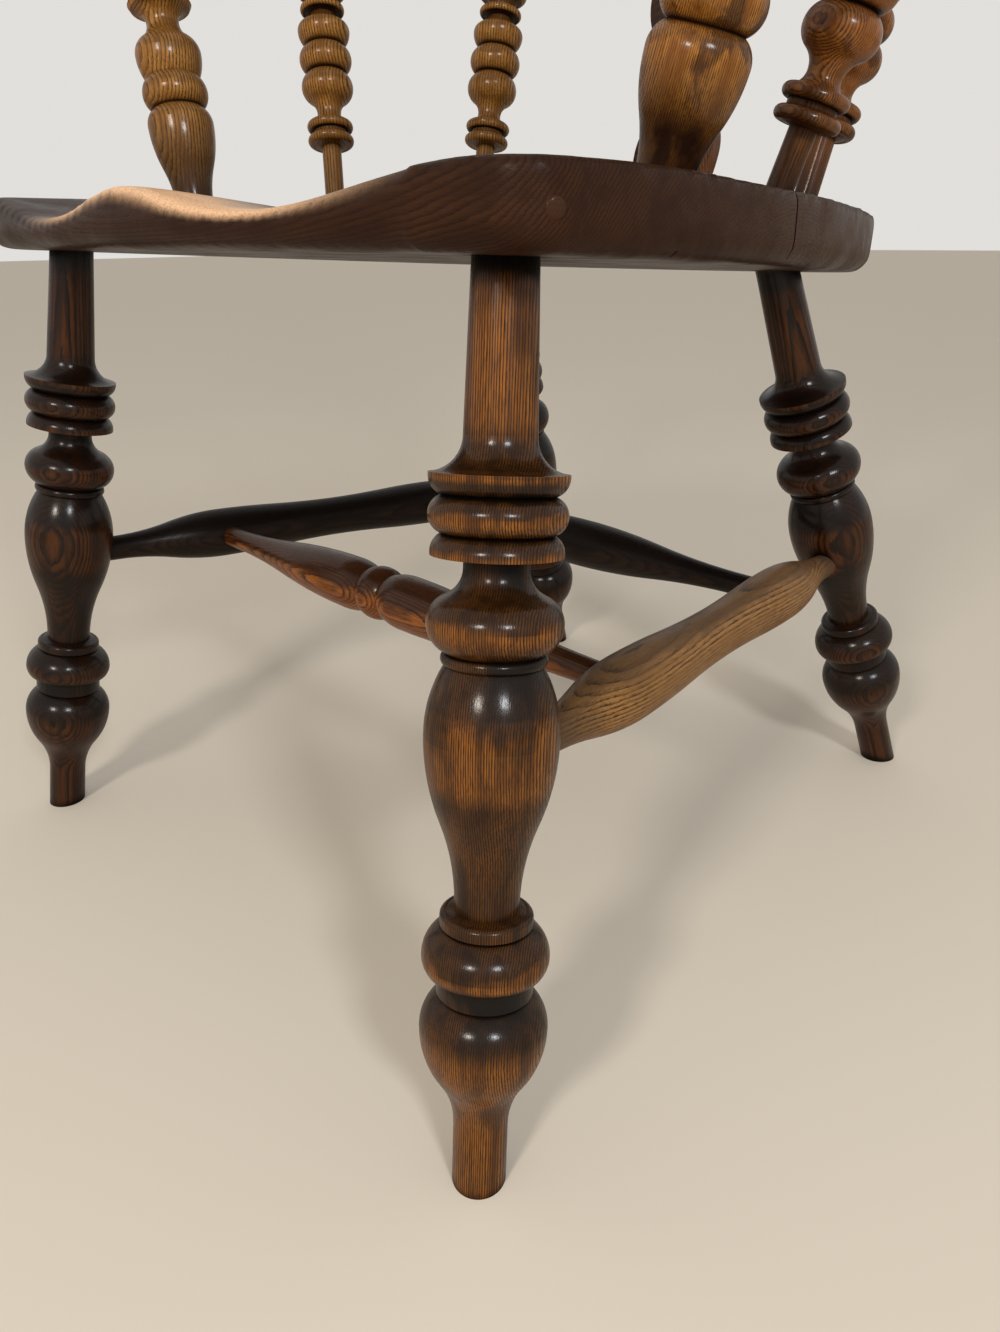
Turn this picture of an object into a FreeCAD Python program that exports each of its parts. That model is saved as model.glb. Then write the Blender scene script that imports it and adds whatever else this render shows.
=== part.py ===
# A windsor armchair: saddle seat, turned legs with a double H of stretchers, turned supports under
# a three-piece arm bow, and a hoop back with straight sticks and a flat splat.
# Lengths are millimetres and angles degrees. The chair faces -Y, the sitter's left is +X, and the
# floor is z = 0. Places along Y are first measured from the middle of the arm bow's curve, and at
# the end every piece moves so that the origin lies on the floor under the middle of the chair.
import FreeCAD, Part
import math
import os
from collections import namedtuple

import Sketcher
from FreeCAD import Placement, Rotation, Vector

SIZES = {
    # Seat board
    "seat_width": 489.0,
    "seat_widest_ahead": 138.0,
    "seat_front": 231.0,
    "seat_back": 228.0,
    "seat_thickness": 36.0,
    "seat_height": 386.3,
    "seat_tilt": 2.9,
    "seat_front_radius": 1150.0,
    "seat_corner_radius": 24.0,
    "seat_side_radius": 680.0,
    "seat_back_corner_radius": 160.0,
    "seat_back_radius": 300.0,
    "seat_chamfer": 6.0,
    "seat_back_fall": 6.0,
    # Saddle carved in the seat
    "saddle_depth": 14.0,
    "saddle_width": 344.0,
    "saddle_front_width": 470.0,
    "saddle_back": 172.0,
    "saddle_front_fall": 7.0,
    "saddle_front_length": 130.0,
    "pommel_height": 12.0,
    "pommel_width": 96.0,
    "pommel_length": 150.0,
    # Leg places on the seat's underside, and their feet's from there
    "front_leg_inset": 49.5,
    "front_leg_reach": 170.0,
    "front_leg_splay": 40.5,
    "front_leg_rake": 62.2,
    "back_leg_inset": 116.5,
    "back_leg_reach": 135.0,
    "back_leg_splay": 55.3,
    "back_leg_rake": 142.2,
    # Leg turning, from the seat down
    "leg_neck_radius": 12.9,
    "leg_shaft_length": 64.5,
    "leg_shaft_radius": 14.6,
    "leg_flare_length": 14.2,
    "leg_flare_radius": 28.0,
    "leg_rim_length": 1.2,
    "leg_bevel_length": 7.4,
    "leg_groove_radius": 22.6,
    "leg_bead_length": 15.0,
    "leg_bead_radius": 28.0,
    "leg_ring_length": 7.3,
    "leg_ring_radius": 27.0,
    "leg_waist_length": 4.3,
    "leg_waist_radius": 13.5,
    "leg_ball_rise": 22.0,
    "leg_ball_radius": 28.2,
    "leg_ball_fall": 12.0,
    "leg_collar_length": 5.4,
    "leg_collar_radius": 22.1,
    "leg_collar_groove_radius": 20.4,
    "leg_vase_rise": 30.0,
    "leg_vase_radius": 28.6,
    "leg_vase_fall": 76.5,
    "leg_vase_neck_radius": 14.3,
    "leg_vase_neck_length": 2.0,
    "leg_cap_top_radius": 17.6,
    "leg_cap_round_length": 2.4,
    "leg_cap_side_length": 3.4,
    "leg_cap_radius": 20.6,
    "leg_cap_groove_radius": 19.2,
    "leg_low_bead_rise": 14.3,
    "leg_low_bead_radius": 28.4,
    "leg_low_bead_fall": 5.8,
    "leg_low_bead_edge_radius": 26.6,
    "leg_quirk_length": 10.6,
    "leg_quirk_radius": 21.6,
    "leg_quirk_groove_radius": 20.0,
    "leg_pear_rise": 16.5,
    "leg_pear_radius": 28.9,
    "leg_pear_fall": 51.5,
    "leg_foot_radius": 12.6,
    "leg_drawn_height": 386.3,
    "front_leg_tenon": 24.0,
    # Side stretchers
    "side_stretcher_front_drop": 201.0,
    "side_stretcher_back_drop": 212.0,
    "side_stretcher_end_radius": 8.6,
    "side_stretcher_swell_radius": 18.0,
    "side_stretcher_waist_radius": 15.0,
    "side_stretcher_swell_inset": 112.0,
    "side_stretcher_stop": 6.0,
    "side_stretcher_tenon": 26.0,
    # Cross stretchers
    "cross_end_radius": 7.3,
    "cross_swell_radius": 17.4,
    "cross_swell_inset": 28.0,
    "cross_groove_radius": 14.0,
    "cross_bead_radius": 17.3,
    "cross_bead_length": 21.0,
    "cross_stop": 4.0,
    "cross_tenon": 18.0,
    "rear_cross_radius": 17.6,
    # Arm bow
    "arm_height": 652.0,
    "arm_thickness": 30.0,
    "arm_width": 56.0,
    "arm_outset": 13.5,
    "arm_reach": 101.0,
    "arm_hand_radius": 36.0,
    "arm_edge_radius": 9.0,
    "arm_lap_start_angle": 55.0,
    "arm_lap_end_angle": 70.0,
    "arm_peg_radius": 3.0,
    "arm_peg_offset": 14.0,
    "support_drawn_height": 235.7,
    # How far the middle of each hand-turned support lies over the middle of its length
    "front_arm_post_left_lift": 3.5,
    "front_arm_post_right_lift": 9.0,
    "side_spindle_left_lift": 4.5,
    "side_spindle_right_lift": 20.0,
    "rear_spindle_left_lift": 13.0,
    "rear_spindle_right_lift": 25.0,
    # Front arm posts
    "post_inset": 48.4,
    "post_ahead": 79.3,
    "post_top_ahead": 61.1,
    "post_foot_radius": 12.2,
    "post_bulb_radius": 21.5,
    "post_bulb_fall": 9.7,
    "post_low_groove_radius": 16.0,
    "post_bead_radius": 21.3,
    "post_bead_length": 18.9,
    "post_high_groove_radius": 17.5,
    "post_head_rise": 14.6,
    "post_head_radius": 21.3,
    "post_head_fall": 19.5,
    "post_neck_radius": 10.5,
    "post_flare_length": 8.6,
    "post_flare_radius": 19.0,
    "post_ring_length": 2.5,
    "post_ring_radius": 20.5,
    "post_middle_length": 3.4,
    "post_middle_radius": 17.0,
    # Thin spindles
    "side_spindle_inset": 59.6,
    "side_spindle_behind": 29.1,
    "side_spindle_angle": 16.8,
    "rear_spindle_inset": 103.9,
    "rear_spindle_behind": 132.0,
    "rear_spindle_angle": 50.9,
    "spindle_stem_radius": 7.0,
    "spindle_ring_radius": 16.8,
    "spindle_ring_length": 6.2,
    "spindle_ring_groove_radius": 12.4,
    "spindle_ring_gap": 3.6,
    "spindle_neck_length": 6.0,
    "spindle_neck_radius": 8.6,
    "spindle_bulb_rise": 18.3,
    "spindle_bulb_radius": 18.8,
    "spindle_bulb_fall": 10.0,
    "spindle_groove_radius": 12.5,
    "spindle_bead_length": 18.6,
    "spindle_bead_radius": 19.0,
    "spindle_head_rise": 10.5,
    "spindle_head_fall": 10.5,
    "spindle_head_neck_radius": 9.0,
    "spindle_middle_length": 4.6,
    "spindle_middle_radius": 16.0,
    # Splats
    "splat_thickness": 9.0,
    "splat_behind": 182.0,
    "splat_foot_width": 54.0,
    "splat_bulge_width": 68.0,
    "splat_bulge_rise": 46.0,
    "splat_waist_width": 42.0,
    "splat_waist_rise": 38.0,
    "splat_shoulder_width": 98.0,
    "splat_shoulder_rise": 64.0,
    "splat_top_width": 56.0,
    "splat_drawn_length": 240.0,
    "upper_splat_foot_width": 52.0,
    "upper_splat_bulge_width": 88.0,
    "upper_splat_bulge_rise": 74.0,
    "upper_splat_waist_width": 46.0,
    "upper_splat_waist_rise": 84.0,
    "upper_splat_shoulder_width": 94.0,
    "upper_splat_shoulder_rise": 92.0,
    "upper_splat_top_width": 48.0,
    "upper_splat_drawn_length": 374.0,
    # Back hoop and sticks
    "hoop_base_angle": 45.0,
    "hoop_lean_angle": 18.5,
    "hoop_rise": 400.0,
    "hoop_flare_angle": 6.0,
    "hoop_rod_radius": 12.0,
    "stick_first_x": 68.0,
    "stick_first_angle": 23.4,
    "stick_angle_pitch": 11.9,
    "stick_foot_radius": 5.6,
    "stick_middle_radius": 6.6,
    "stick_top_radius": 4.8,
    # Pegs of the front leg tenons
    "leg_peg_radius": 3.6,
    "leg_peg_ahead": 192.0,
    "leg_peg_rise": 15.5,
    "leg_peg_past": 5.0,
    # Fits
    "glue_gap": 0.1,
    "socket_web": 5.0,
    "post_tenon": 11.0,
    "arm_tenon": 12.0,
    "arm_web": 4.0,
    "step_length": 1.0,
    "trim_length": 30.0,
}
STICKS_PER_SIDE = 4
SIDES = (("left", 1), ("right", -1))
SADDLE_GRID = 26
SADDLE_FLAT_SHARE = 0.45

doc = FreeCAD.newDocument("WindsorArmchair")
sheet = doc.addObject("Spreadsheet::Sheet", "Sizes")
pieces = []


class Size:
    """A number together with the cell formula that gives it."""

    def __init__(self, value, formula):
        self.value = value
        self.formula = formula

    def _join(self, sign, other, value):
        return Size(value, f"({self.formula} {sign} {as_size(other).formula})")

    def __add__(self, other):
        return self._join("+", other, self.value + as_size(other).value)

    def __sub__(self, other):
        return self._join("-", other, self.value - as_size(other).value)

    def __mul__(self, other):
        return self._join("*", other, self.value * as_size(other).value)

    def __truediv__(self, other):
        return self._join("/", other, self.value / as_size(other).value)


def as_size(number):
    """Gives a plain number as a Size."""
    return number if isinstance(number, Size) else Size(float(number), repr(float(number)))


def fill_sheet():
    """Writes every driving dimension to its own named cell."""
    for row, (name, value) in enumerate(SIZES.items(), start=1):
        sheet.set(f"A{row}", name)
        sheet.set(f"B{row}", str(value))
        sheet.setAlias(f"B{row}", name)
    doc.recompute()


def size(name):
    """Gives a driving dimension from the sheet."""
    return Size(float(sheet.get(name)), f"Sizes.{name}")


def mm(name):
    """Gives a driving dimension as a plain number."""
    return size(name).value


def polar(radius, angle, height=0.0):
    """Gives the point at an angle, from +X towards +Y, on a circle about the arm bow's middle."""
    turn = math.radians(angle)
    return Vector(radius * math.cos(turn), radius * math.sin(turn), height)


def mirrored(point, side):
    """Gives a point of the left side on the side asked for."""
    return Vector(side * point.x, point.y, point.z)


def along(start, end):
    """Gives the placement whose Z axis runs from start to end."""
    return Placement(start, Rotation(Vector(0, 0, 1), end - start))


def toward(start, end, distance):
    """Gives the point at a distance from start on the line to end."""
    return start + (end - start).normalize() * distance


# Sketches
Step = namedtuple("Step", "rise radius smooth")


def both_halves(lower, upper):
    """Joins the two halves of a turning, each of them given from its own end to the middle."""
    back = [Step(high.rise, low.radius, low.smooth) for low, high in zip(upper, upper[1:])]
    return lower + back[::-1]


def drawn_out(steps, share):
    """Makes a turning longer or shorter, with its radii kept."""
    return [Step(one.rise * share, one.radius, one.smooth) for one in steps]


def new_sketch(body, name, plane, lift=None):
    """Adds a sketch on one of the body's own origin planes."""
    sketch = body.newObject("Sketcher::SketchObject", name)
    support = next(f for f in body.Origin.OriginFeatures if f.Role == plane)
    sketch.AttachmentSupport = (support, [""])
    sketch.MapMode = "FlatFace"
    if lift is not None:
        sketch.setExpression("AttachmentOffset.Base.z", lift.formula)
    return sketch


class Drawing:
    """Collects the lines, arcs and bound dimensions of one sketch."""

    def __init__(self):
        self.geometry = []
        self.constraints = []
        self.bindings = []

    def add(self, item):
        self.geometry.append(item)
        return len(self.geometry) - 1

    def rule(self, *words):
        self.constraints.append(Sketcher.Constraint(*words))

    def bind(self, length, kind, *words):
        self.bindings.append((len(self.constraints), length.formula))
        self.constraints.append(Sketcher.Constraint(kind, *words, length.value))

    def bind_angle(self, angle, element):
        """Fixes a line's angle from the sketch's X axis."""
        self.bindings.append((len(self.constraints), angle.formula))
        self.constraints.append(Sketcher.Constraint("Angle", element, math.radians(angle.value)))

    def line(self, start, end):
        return self.add(Part.LineSegment(Vector(*start, 0), Vector(*end, 0)))

    def arc(self, centre, radius, first, last):
        circle = Part.Circle(Vector(*centre, 0), Vector(0, 0, 1), radius)
        return self.add(Part.ArcOfCircle(circle, first, last))

    def write(self, sketch):
        sketch.addGeometry(self.geometry, False)
        sketch.addConstraint(self.constraints)
        for index, formula in self.bindings:
            sketch.setExpression(f"Constraints[{index}]", formula)


def draw_curve(drawing, turning, joint):
    """Draws the arc that leaves a smooth place along the axis and ends at a joint, both (radius, height).

    Gives the arc's number and which of its ends is the lower one.
    """
    rise = joint[1] - turning[1]
    spread = joint[0] - turning[0]
    reach = (rise ** 2 + spread ** 2) / (2 * abs(spread))
    centre = (turning[0] + math.copysign(reach, spread), turning[1])
    ends = [math.atan2(height - centre[1], radius - centre[0]) for radius, height in (turning, joint)]
    if spread > 0:
        ends = [angle % (2 * math.pi) for angle in ends]
    element = drawing.arc(centre, reach, min(ends), max(ends))
    lower = 2 if spread > 0 else 1
    drawing.rule("Horizontal", element, 3, element, lower if rise > 0 else 3 - lower)
    return element, lower


def draw_profile(drawing, steps):
    """Draws half of an outline beside the upright axis, one step after the other from the lowest up.

    Smooth places run along the axis there, and two of them in a row are joined by an ogee.
    """
    runs = []
    for low, high in zip(steps, steps[1:]):
        if low.smooth and high.smooth and low.radius.value != high.radius.value:
            middle = Step(high.rise / 2, (low.radius + high.radius) / 2, False)
            runs += [(low, middle), (middle, Step(high.rise / 2, high.radius, True))]
        else:
            runs.append((low, high))
    height = 0.0
    first = drawing.line((0, height), (steps[0].radius.value, height))
    drawing.rule("Horizontal", first)
    elements = [(first, 1, 2)]
    for low, high in runs:
        start = (low.radius.value, height)
        height += high.rise.value
        end = (high.radius.value, height)
        if low.radius.value == high.radius.value or not (low.smooth or high.smooth):
            element, lower = drawing.line(start, end), 1
        elif low.smooth:
            element, lower = draw_curve(drawing, start, end)
        else:
            element, lower = draw_curve(drawing, end, start)
        elements.append((element, lower, 3 - lower))
        drawing.bind(low.radius, "DistanceX", -1, 1, element, lower)
        drawing.bind(high.rise, "DistanceY", element, lower, element, 3 - lower)
    last = drawing.line((steps[-1].radius.value, height), (0, height))
    drawing.bind(steps[-1].radius, "DistanceX", -1, 1, last, 1)
    axis = drawing.line((0, height), (0, 0))
    elements += [(last, 1, 2), (axis, 1, 2)]
    for (here, _, upper), (there, lower, _) in zip(elements, elements[1:]):
        drawing.rule("Coincident", here, upper, there, lower)
    drawing.rule("Coincident", axis, 2, first, 1)
    drawing.rule("Coincident", first, 1, -1, 1)
    drawing.rule("PointOnObject", last, 2, -2)
    drawing.rule("Horizontal", last)


# Building blocks
def turned(name, steps):
    """Turns a piece about its own Z axis, step by step from its lower end."""
    body = doc.addObject("PartDesign::Body", f"{name}_body")
    sketch = new_sketch(body, f"{name}_outline", "XZ_Plane")
    drawing = Drawing()
    draw_profile(drawing, steps)
    drawing.write(sketch)
    turn = body.newObject("PartDesign::Revolution", f"{name}_turning")
    turn.Profile = sketch
    turn.ReferenceAxis = (sketch, ["V_Axis"])
    turn.Angle = 360.0
    doc.recompute()
    return body


def board(name, steps, thickness):
    """Cuts a flat board, alike on both sides of its Z axis, step by step from its foot."""
    body = doc.addObject("PartDesign::Body", f"{name}_body")
    sketch = new_sketch(body, f"{name}_outline", "XZ_Plane")
    drawing = Drawing()
    draw_profile(drawing, steps)
    drawing.write(sketch)
    pad = body.newObject("PartDesign::Pad", f"{name}_pad")
    pad.Profile = sketch
    pad.SideType = "Symmetric"
    pad.setExpression("Length", thickness.formula)
    doc.recompute()
    other = body.newObject("PartDesign::Mirrored", f"{name}_other_half")
    other.Originals = [pad]
    other.MirrorPlane = (sketch, ["V_Axis"])
    body.Tip = other
    doc.recompute()
    return body


def rod(name, radius, start, end):
    """Gives a plain cylinder from start to end."""
    cylinder = doc.addObject("Part::Cylinder", name)
    cylinder.setExpression("Radius", as_size(radius).formula)
    cylinder.Height = (end - start).Length
    cylinder.Placement = along(start, end)
    return cylinder


def bar(name, width, thickness, length):
    """Gives a plain square bar that rises along Z from a corner at the origin."""
    block = doc.addObject("Part::Box", name)
    block.setExpression("Length", width.formula)
    block.setExpression("Width", thickness.formula)
    block.setExpression("Height", as_size(length).formula)
    return block


def cut(name, base, tools):
    """Cuts the tools out of a base."""
    tool = tools[0]
    if len(tools) > 1:
        tool = doc.addObject("Part::MultiFuse", f"{name}_tools")
        tool.Shapes = tools
    result = doc.addObject("Part::Cut", f"{name}_cut")
    result.Base = base
    result.Tool = tool
    doc.recompute()
    return result


def keep(name, item):
    """Names a finished piece."""
    item.Label = name
    pieces.append(item)
    return item


# Seat
def seat_placement():
    """Gives the seat's place: its underside passes the arm bow's middle and falls to the back."""
    return Placement(Vector(0, 0, mm("seat_height")), Rotation(Vector(1, 0, 0), -mm("seat_tilt")))


def on_seat(x, y, height):
    """Gives the point above x, y of the floor plan at a height over the seat's underside."""
    tilt = math.radians(mm("seat_tilt"))
    return Vector(x, y, mm("seat_height") - y * math.tan(tilt) + height / math.cos(tilt))


def from_side(name):
    """Gives the distance from the middle plane of what stands at an inset from the seat's width."""
    return mm("seat_width") / 2 - mm(f"{name}_inset")


def arm_radius():
    """Gives the radius of the arm bow's middle line, which follows the seat's width."""
    return size("seat_width") / 2 + size("arm_outset")


def tangent_centre(first, first_radius, second, second_radius, radius):
    """Gives the centre of the circle that touches two larger circles from inside, left of their line."""
    base = second - first
    near = first_radius - radius
    far = second_radius - radius
    step = (near ** 2 - far ** 2 + base.Length ** 2) / (2 * base.Length)
    rise = math.sqrt(near ** 2 - step ** 2)
    unit = base / base.Length
    left = Vector(-unit.y, unit.x, 0)
    return first + unit * step + left * rise


def seat_blank():
    """Saws the seat's outline, chamfered below, and leaves it thick enough to carve."""
    front, back = size("seat_front"), size("seat_back")
    radii = [size(f"seat_{name}_radius") for name in ("front", "corner", "side", "back_corner", "back")]
    front_r, corner_r, side_r, back_corner_r, back_r = [radius.value for radius in radii]
    front_c = Vector(0, front_r - front.value, 0)
    side_c = Vector(mm("seat_width") / 2 - side_r, -mm("seat_widest_ahead"), 0)
    back_c = Vector(0, back.value - back_r, 0)
    corner_c = tangent_centre(front_c, front_r, side_c, side_r, corner_r)
    back_corner_c = tangent_centre(side_c, side_r, back_c, back_r, back_corner_r)
    centres = [front_c, corner_c, side_c, back_corner_c, back_c]

    def heading(tail, tip):
        return math.atan2(tip.y - tail.y, tip.x - tail.x)

    turns = [-math.pi / 2, heading(front_c, corner_c), heading(side_c, corner_c)]
    turns += [heading(side_c, back_corner_c), heading(back_c, back_corner_c), math.pi / 2]

    body = doc.addObject("PartDesign::Body", "seat_blank_body")
    sketch = new_sketch(body, "seat_outline", "XY_Plane")
    drawing = Drawing()
    arcs = []
    for centre, radius, first, last in zip(centres, radii, turns, turns[1:]):
        arc = drawing.arc((centre.x, centre.y), radius.value, first, last)
        drawing.bind(radius, "Radius", arc)
        arcs.append(arc)
    middle = drawing.line((0, back.value), (0, -front.value))
    for here, there in zip(arcs, arcs[1:]):
        drawing.rule("Tangent", here, 2, there, 1)
    drawing.rule("Coincident", arcs[-1], 2, middle, 1)
    drawing.rule("Coincident", middle, 2, arcs[0], 1)
    drawing.rule("PointOnObject", middle, 1, -2)
    drawing.rule("PointOnObject", middle, 2, -2)
    drawing.rule("PointOnObject", arcs[0], 3, -2)
    drawing.rule("PointOnObject", arcs[-1], 3, -2)
    drawing.bind(back, "DistanceY", -1, 1, middle, 1)
    drawing.bind(front, "DistanceY", middle, 2, -1, 1)
    drawing.bind(size("seat_side_radius") - size("seat_width") / 2, "DistanceX", arcs[2], 3, -1, 1)
    drawing.bind(size("seat_widest_ahead"), "DistanceY", arcs[2], 3, -1, 1)
    drawing.write(sketch)
    pad = body.newObject("PartDesign::Pad", "seat_pad")
    pad.Profile = sketch
    pad.setExpression("Length", (size("seat_thickness") + size("saddle_depth")).formula)
    doc.recompute()
    other = body.newObject("PartDesign::Mirrored", "seat_other_half")
    other.Originals = [pad]
    other.MirrorPlane = (sketch, ["V_Axis"])
    body.Tip = other
    doc.recompute()
    edges = [f"Edge{number}" for number, edge in enumerate(other.Shape.Edges, start=1)
             if edge.BoundBox.ZMax < mm("seat_chamfer") / 2]
    chamfer = body.newObject("PartDesign::Chamfer", "seat_lower_edge")
    chamfer.Base = (other, edges)
    chamfer.setExpression("Size", "Sizes.seat_chamfer")
    body.Tip = chamfer
    doc.recompute()
    return body


def ease(low, high, value):
    """Rises smoothly from 0 at low to 1 at high."""
    share = min(max((value - low) / (high - low), 0.0), 1.0)
    return share * share * (3 - 2 * share)


def saddle_surface(x, y):
    """Gives the carved height of the seat's top over its underside.

    The board thins behind its front corners, a hollow flares towards the front edge, the front falls
    away, and a pommel rises in its middle.
    """
    from_front = y + mm("seat_front")
    flare_end = mm("post_ahead")
    waist = mm("saddle_width") / 2
    flare = max(0.0, (-flare_end - y) / (mm("seat_front") - flare_end)) ** 2
    half_width = waist + (mm("saddle_front_width") / 2 - waist) * flare
    edge = math.hypot(x / half_width, max(0.0, y) / mm("saddle_back"))
    hollow = mm("saddle_depth") * (1 - ease(SADDLE_FLAT_SHARE, 1.0, edge))
    fall = mm("saddle_front_fall") * (1 - ease(0, mm("saddle_front_length"), from_front))
    pommel = mm("pommel_height") * math.exp(-(2 * x / mm("pommel_width")) ** 2)
    pommel *= 1 - ease(0, mm("pommel_length"), from_front)
    thinning = mm("seat_back_fall") * ease(-mm("seat_front"), -flare_end, y)
    return mm("seat_thickness") - thinning - hollow - fall + pommel


def back_thickness():
    """Gives the seat's thickness behind its front corners, outside the hollow."""
    return size("seat_thickness") - size("seat_back_fall")


def saddle_waste():
    """Gives the wood that carving takes off the blank: all that lies over the saddle surface."""
    margin = mm("seat_corner_radius")
    half = mm("seat_width") / 2 + margin
    front = -mm("seat_front") - margin
    depth = mm("seat_back") + margin - front
    shares = [number / SADDLE_GRID for number in range(SADDLE_GRID + 1)]
    rows = []
    for down in shares:
        y = front + depth * down
        row = []
        for over in shares:
            x = half * (2 * over - 1)
            row.append(Vector(x, y, saddle_surface(x, y)))
        rows.append(row)
    surface = Part.BSplineSurface()
    surface.interpolate(rows)
    waste = doc.addObject("Part::Feature", "saddle_waste")
    waste.Shape = surface.toShape().extrude(Vector(0, 0, mm("seat_thickness") + mm("saddle_depth")))
    return waste


# Legs
def leg_tenon(end):
    """Gives a leg tenon's depth, which at the back leaves a web of wood under the spindle sockets."""
    if end == "front":
        return size("front_leg_tenon")
    return back_thickness() - size("post_tenon") - size("socket_web")


def leg_line(end, side):
    """Gives a leg's axis: where it meets the seat's underside, and its foot on the floor."""
    forward = -1 if end == "front" else 1
    top = on_seat(from_side(f"{end}_leg"), forward * mm(f"{end}_leg_reach"), 0)
    foot = Vector(top.x + mm(f"{end}_leg_splay"), top.y + forward * mm(f"{end}_leg_rake"), 0)
    return mirrored(top, side), mirrored(foot, side)


def leg_steps(tenon, length):
    """Gives the leg's turning, from the end of its tenon down past the floor."""
    step = size("step_length")
    neck = size("leg_neck_radius")
    groove = size("leg_groove_radius")
    collar_groove = size("leg_collar_groove_radius")
    vase_neck = size("leg_vase_neck_radius")
    quirk = size("leg_quirk_radius")
    half_bead = size("leg_bead_length") / 2
    half_collar = size("leg_collar_length") / 2
    steps = [
        Step(as_size(0), neck, False),
        Step(tenon, neck, False),
        Step(size("leg_shaft_length") - step, size("leg_shaft_radius"), False),
        Step(step, size("leg_shaft_radius"), True),
        Step(size("leg_flare_length"), size("leg_flare_radius"), False),
        Step(size("leg_rim_length"), size("leg_flare_radius"), True),
        Step(size("leg_bevel_length"), groove, False),
        Step(half_bead, size("leg_bead_radius"), True),
        Step(half_bead, groove, False),
        Step(size("leg_ring_length"), size("leg_ring_radius"), True),
        Step(size("leg_rim_length"), size("leg_ring_radius"), False),
        Step(step, size("leg_waist_radius"), False),
        Step(size("leg_waist_length"), size("leg_waist_radius"), True),
        Step(size("leg_ball_rise"), size("leg_ball_radius"), True),
        Step(size("leg_ball_fall"), collar_groove, False),
        Step(half_collar, size("leg_collar_radius"), True),
        Step(half_collar, collar_groove, False),
        Step(size("leg_vase_rise"), size("leg_vase_radius"), True),
        Step(size("leg_vase_fall"), vase_neck, True),
        Step(size("leg_vase_neck_length"), vase_neck, False),
        Step(step, size("leg_cap_top_radius"), False),
        Step(size("leg_cap_round_length"), size("leg_cap_radius"), True),
        Step(size("leg_cap_side_length"), size("leg_cap_radius"), False),
        Step(step, size("leg_cap_groove_radius"), False),
        Step(size("leg_low_bead_rise"), size("leg_low_bead_radius"), True),
        Step(size("leg_low_bead_fall"), size("leg_low_bead_edge_radius"), False),
        Step(step, quirk, False),
        Step(size("leg_quirk_length"), quirk, False),
        Step(step, size("leg_quirk_groove_radius"), False),
        Step(size("leg_pear_rise"), size("leg_pear_radius"), True),
        Step(size("leg_pear_fall"), size("leg_foot_radius"), True),
    ]
    steps = steps[:2] + drawn_out(steps[2:], mm("seat_height") / mm("leg_drawn_height"))
    ankle = length + tenon.value - sum(one.rise.value for one in steps)
    return steps + [Step(as_size(ankle + mm("trim_length")), size("leg_foot_radius"), False)]


def leg(end, side_name, side):
    """Turns one leg, bores it for its stretcher and its peg, and trims its foot to the floor."""
    name = f"{end}_leg_{side_name}"
    top, foot = leg_line(end, side)
    tenon = leg_tenon(end)
    body = turned(name, leg_steps(tenon, (foot - top).Length))
    body.Placement = along(toward(top, foot, -tenon.value), foot)
    trim = mm("trim_length")
    waste = doc.addObject("Part::Box", f"{name}_floor")
    waste.Length = waste.Width = waste.Height = 4 * trim
    waste.Placement.Base = Vector(foot.x - 2 * trim, foot.y - 2 * trim, -4 * trim)
    tools = [waste, side_stretcher_socket(name, end, side)]
    if end == "front":
        radius = size("leg_peg_radius") + size("glue_gap")
        tools.append(leg_peg_rod(f"{name}_peg_hole", side_name, side, radius))
    keep(name, cut(name, body, tools))


def leg_socket(end, side_name, side):
    """Bores the seat for a leg's tenon."""
    top, foot = leg_line(end, side)
    tenon = leg_tenon(end).value
    radius = size("leg_neck_radius") + size("glue_gap")
    return rod(f"seat_socket_{end}_{side_name}", radius, toward(top, foot, -tenon), toward(top, foot, tenon))


def leg_peg_rod(name, side_name, side, radius):
    """Gives the straight line of a leg peg, from outside the seat's edge through the tenon."""
    top, foot = leg_line("front", side)
    aim = toward(top, foot, -mm("leg_peg_rise"))
    edge = mirrored(on_seat(mm("seat_width") / 2, -mm("leg_peg_ahead"), 0), side)
    edge.z = aim.z
    start = toward(aim, edge, -mm("leg_peg_past"))
    return rod(name, radius, start, toward(edge, aim, -mm("seat_chamfer")))


# Stretchers
def side_stretcher_line(side):
    """Gives the axis of a side stretcher between the axes of its two legs."""
    ends = []
    for end in ("front", "back"):
        top, foot = leg_line(end, side)
        ends.append(toward(top, foot, mm(f"side_stretcher_{end}_drop")))
    return ends


def side_stretcher_socket(name, end, side):
    """Bores a leg for the side stretcher's tenon."""
    front, back = side_stretcher_line(side)
    here, there = (front, back) if end == "front" else (back, front)
    radius = size("side_stretcher_end_radius") + size("glue_gap")
    start = toward(here, there, mm("side_stretcher_stop"))
    return rod(f"{name}_socket", radius, start, toward(here, there, 2 * mm("leg_vase_radius")))


def cross_stretcher_end(end, side):
    """Gives the point of a side stretcher's axis that a cross stretcher meets."""
    front, back = side_stretcher_line(side)
    here, there = (front, back) if end == "front" else (back, front)
    return toward(here, there, mm("side_stretcher_swell_inset"))


def cross_stretcher_tenon(end, side):
    """Gives where a cross stretcher stops inside the side stretcher on one side."""
    return toward(cross_stretcher_end(end, side), cross_stretcher_end(end, -side), mm("cross_stop"))


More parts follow.
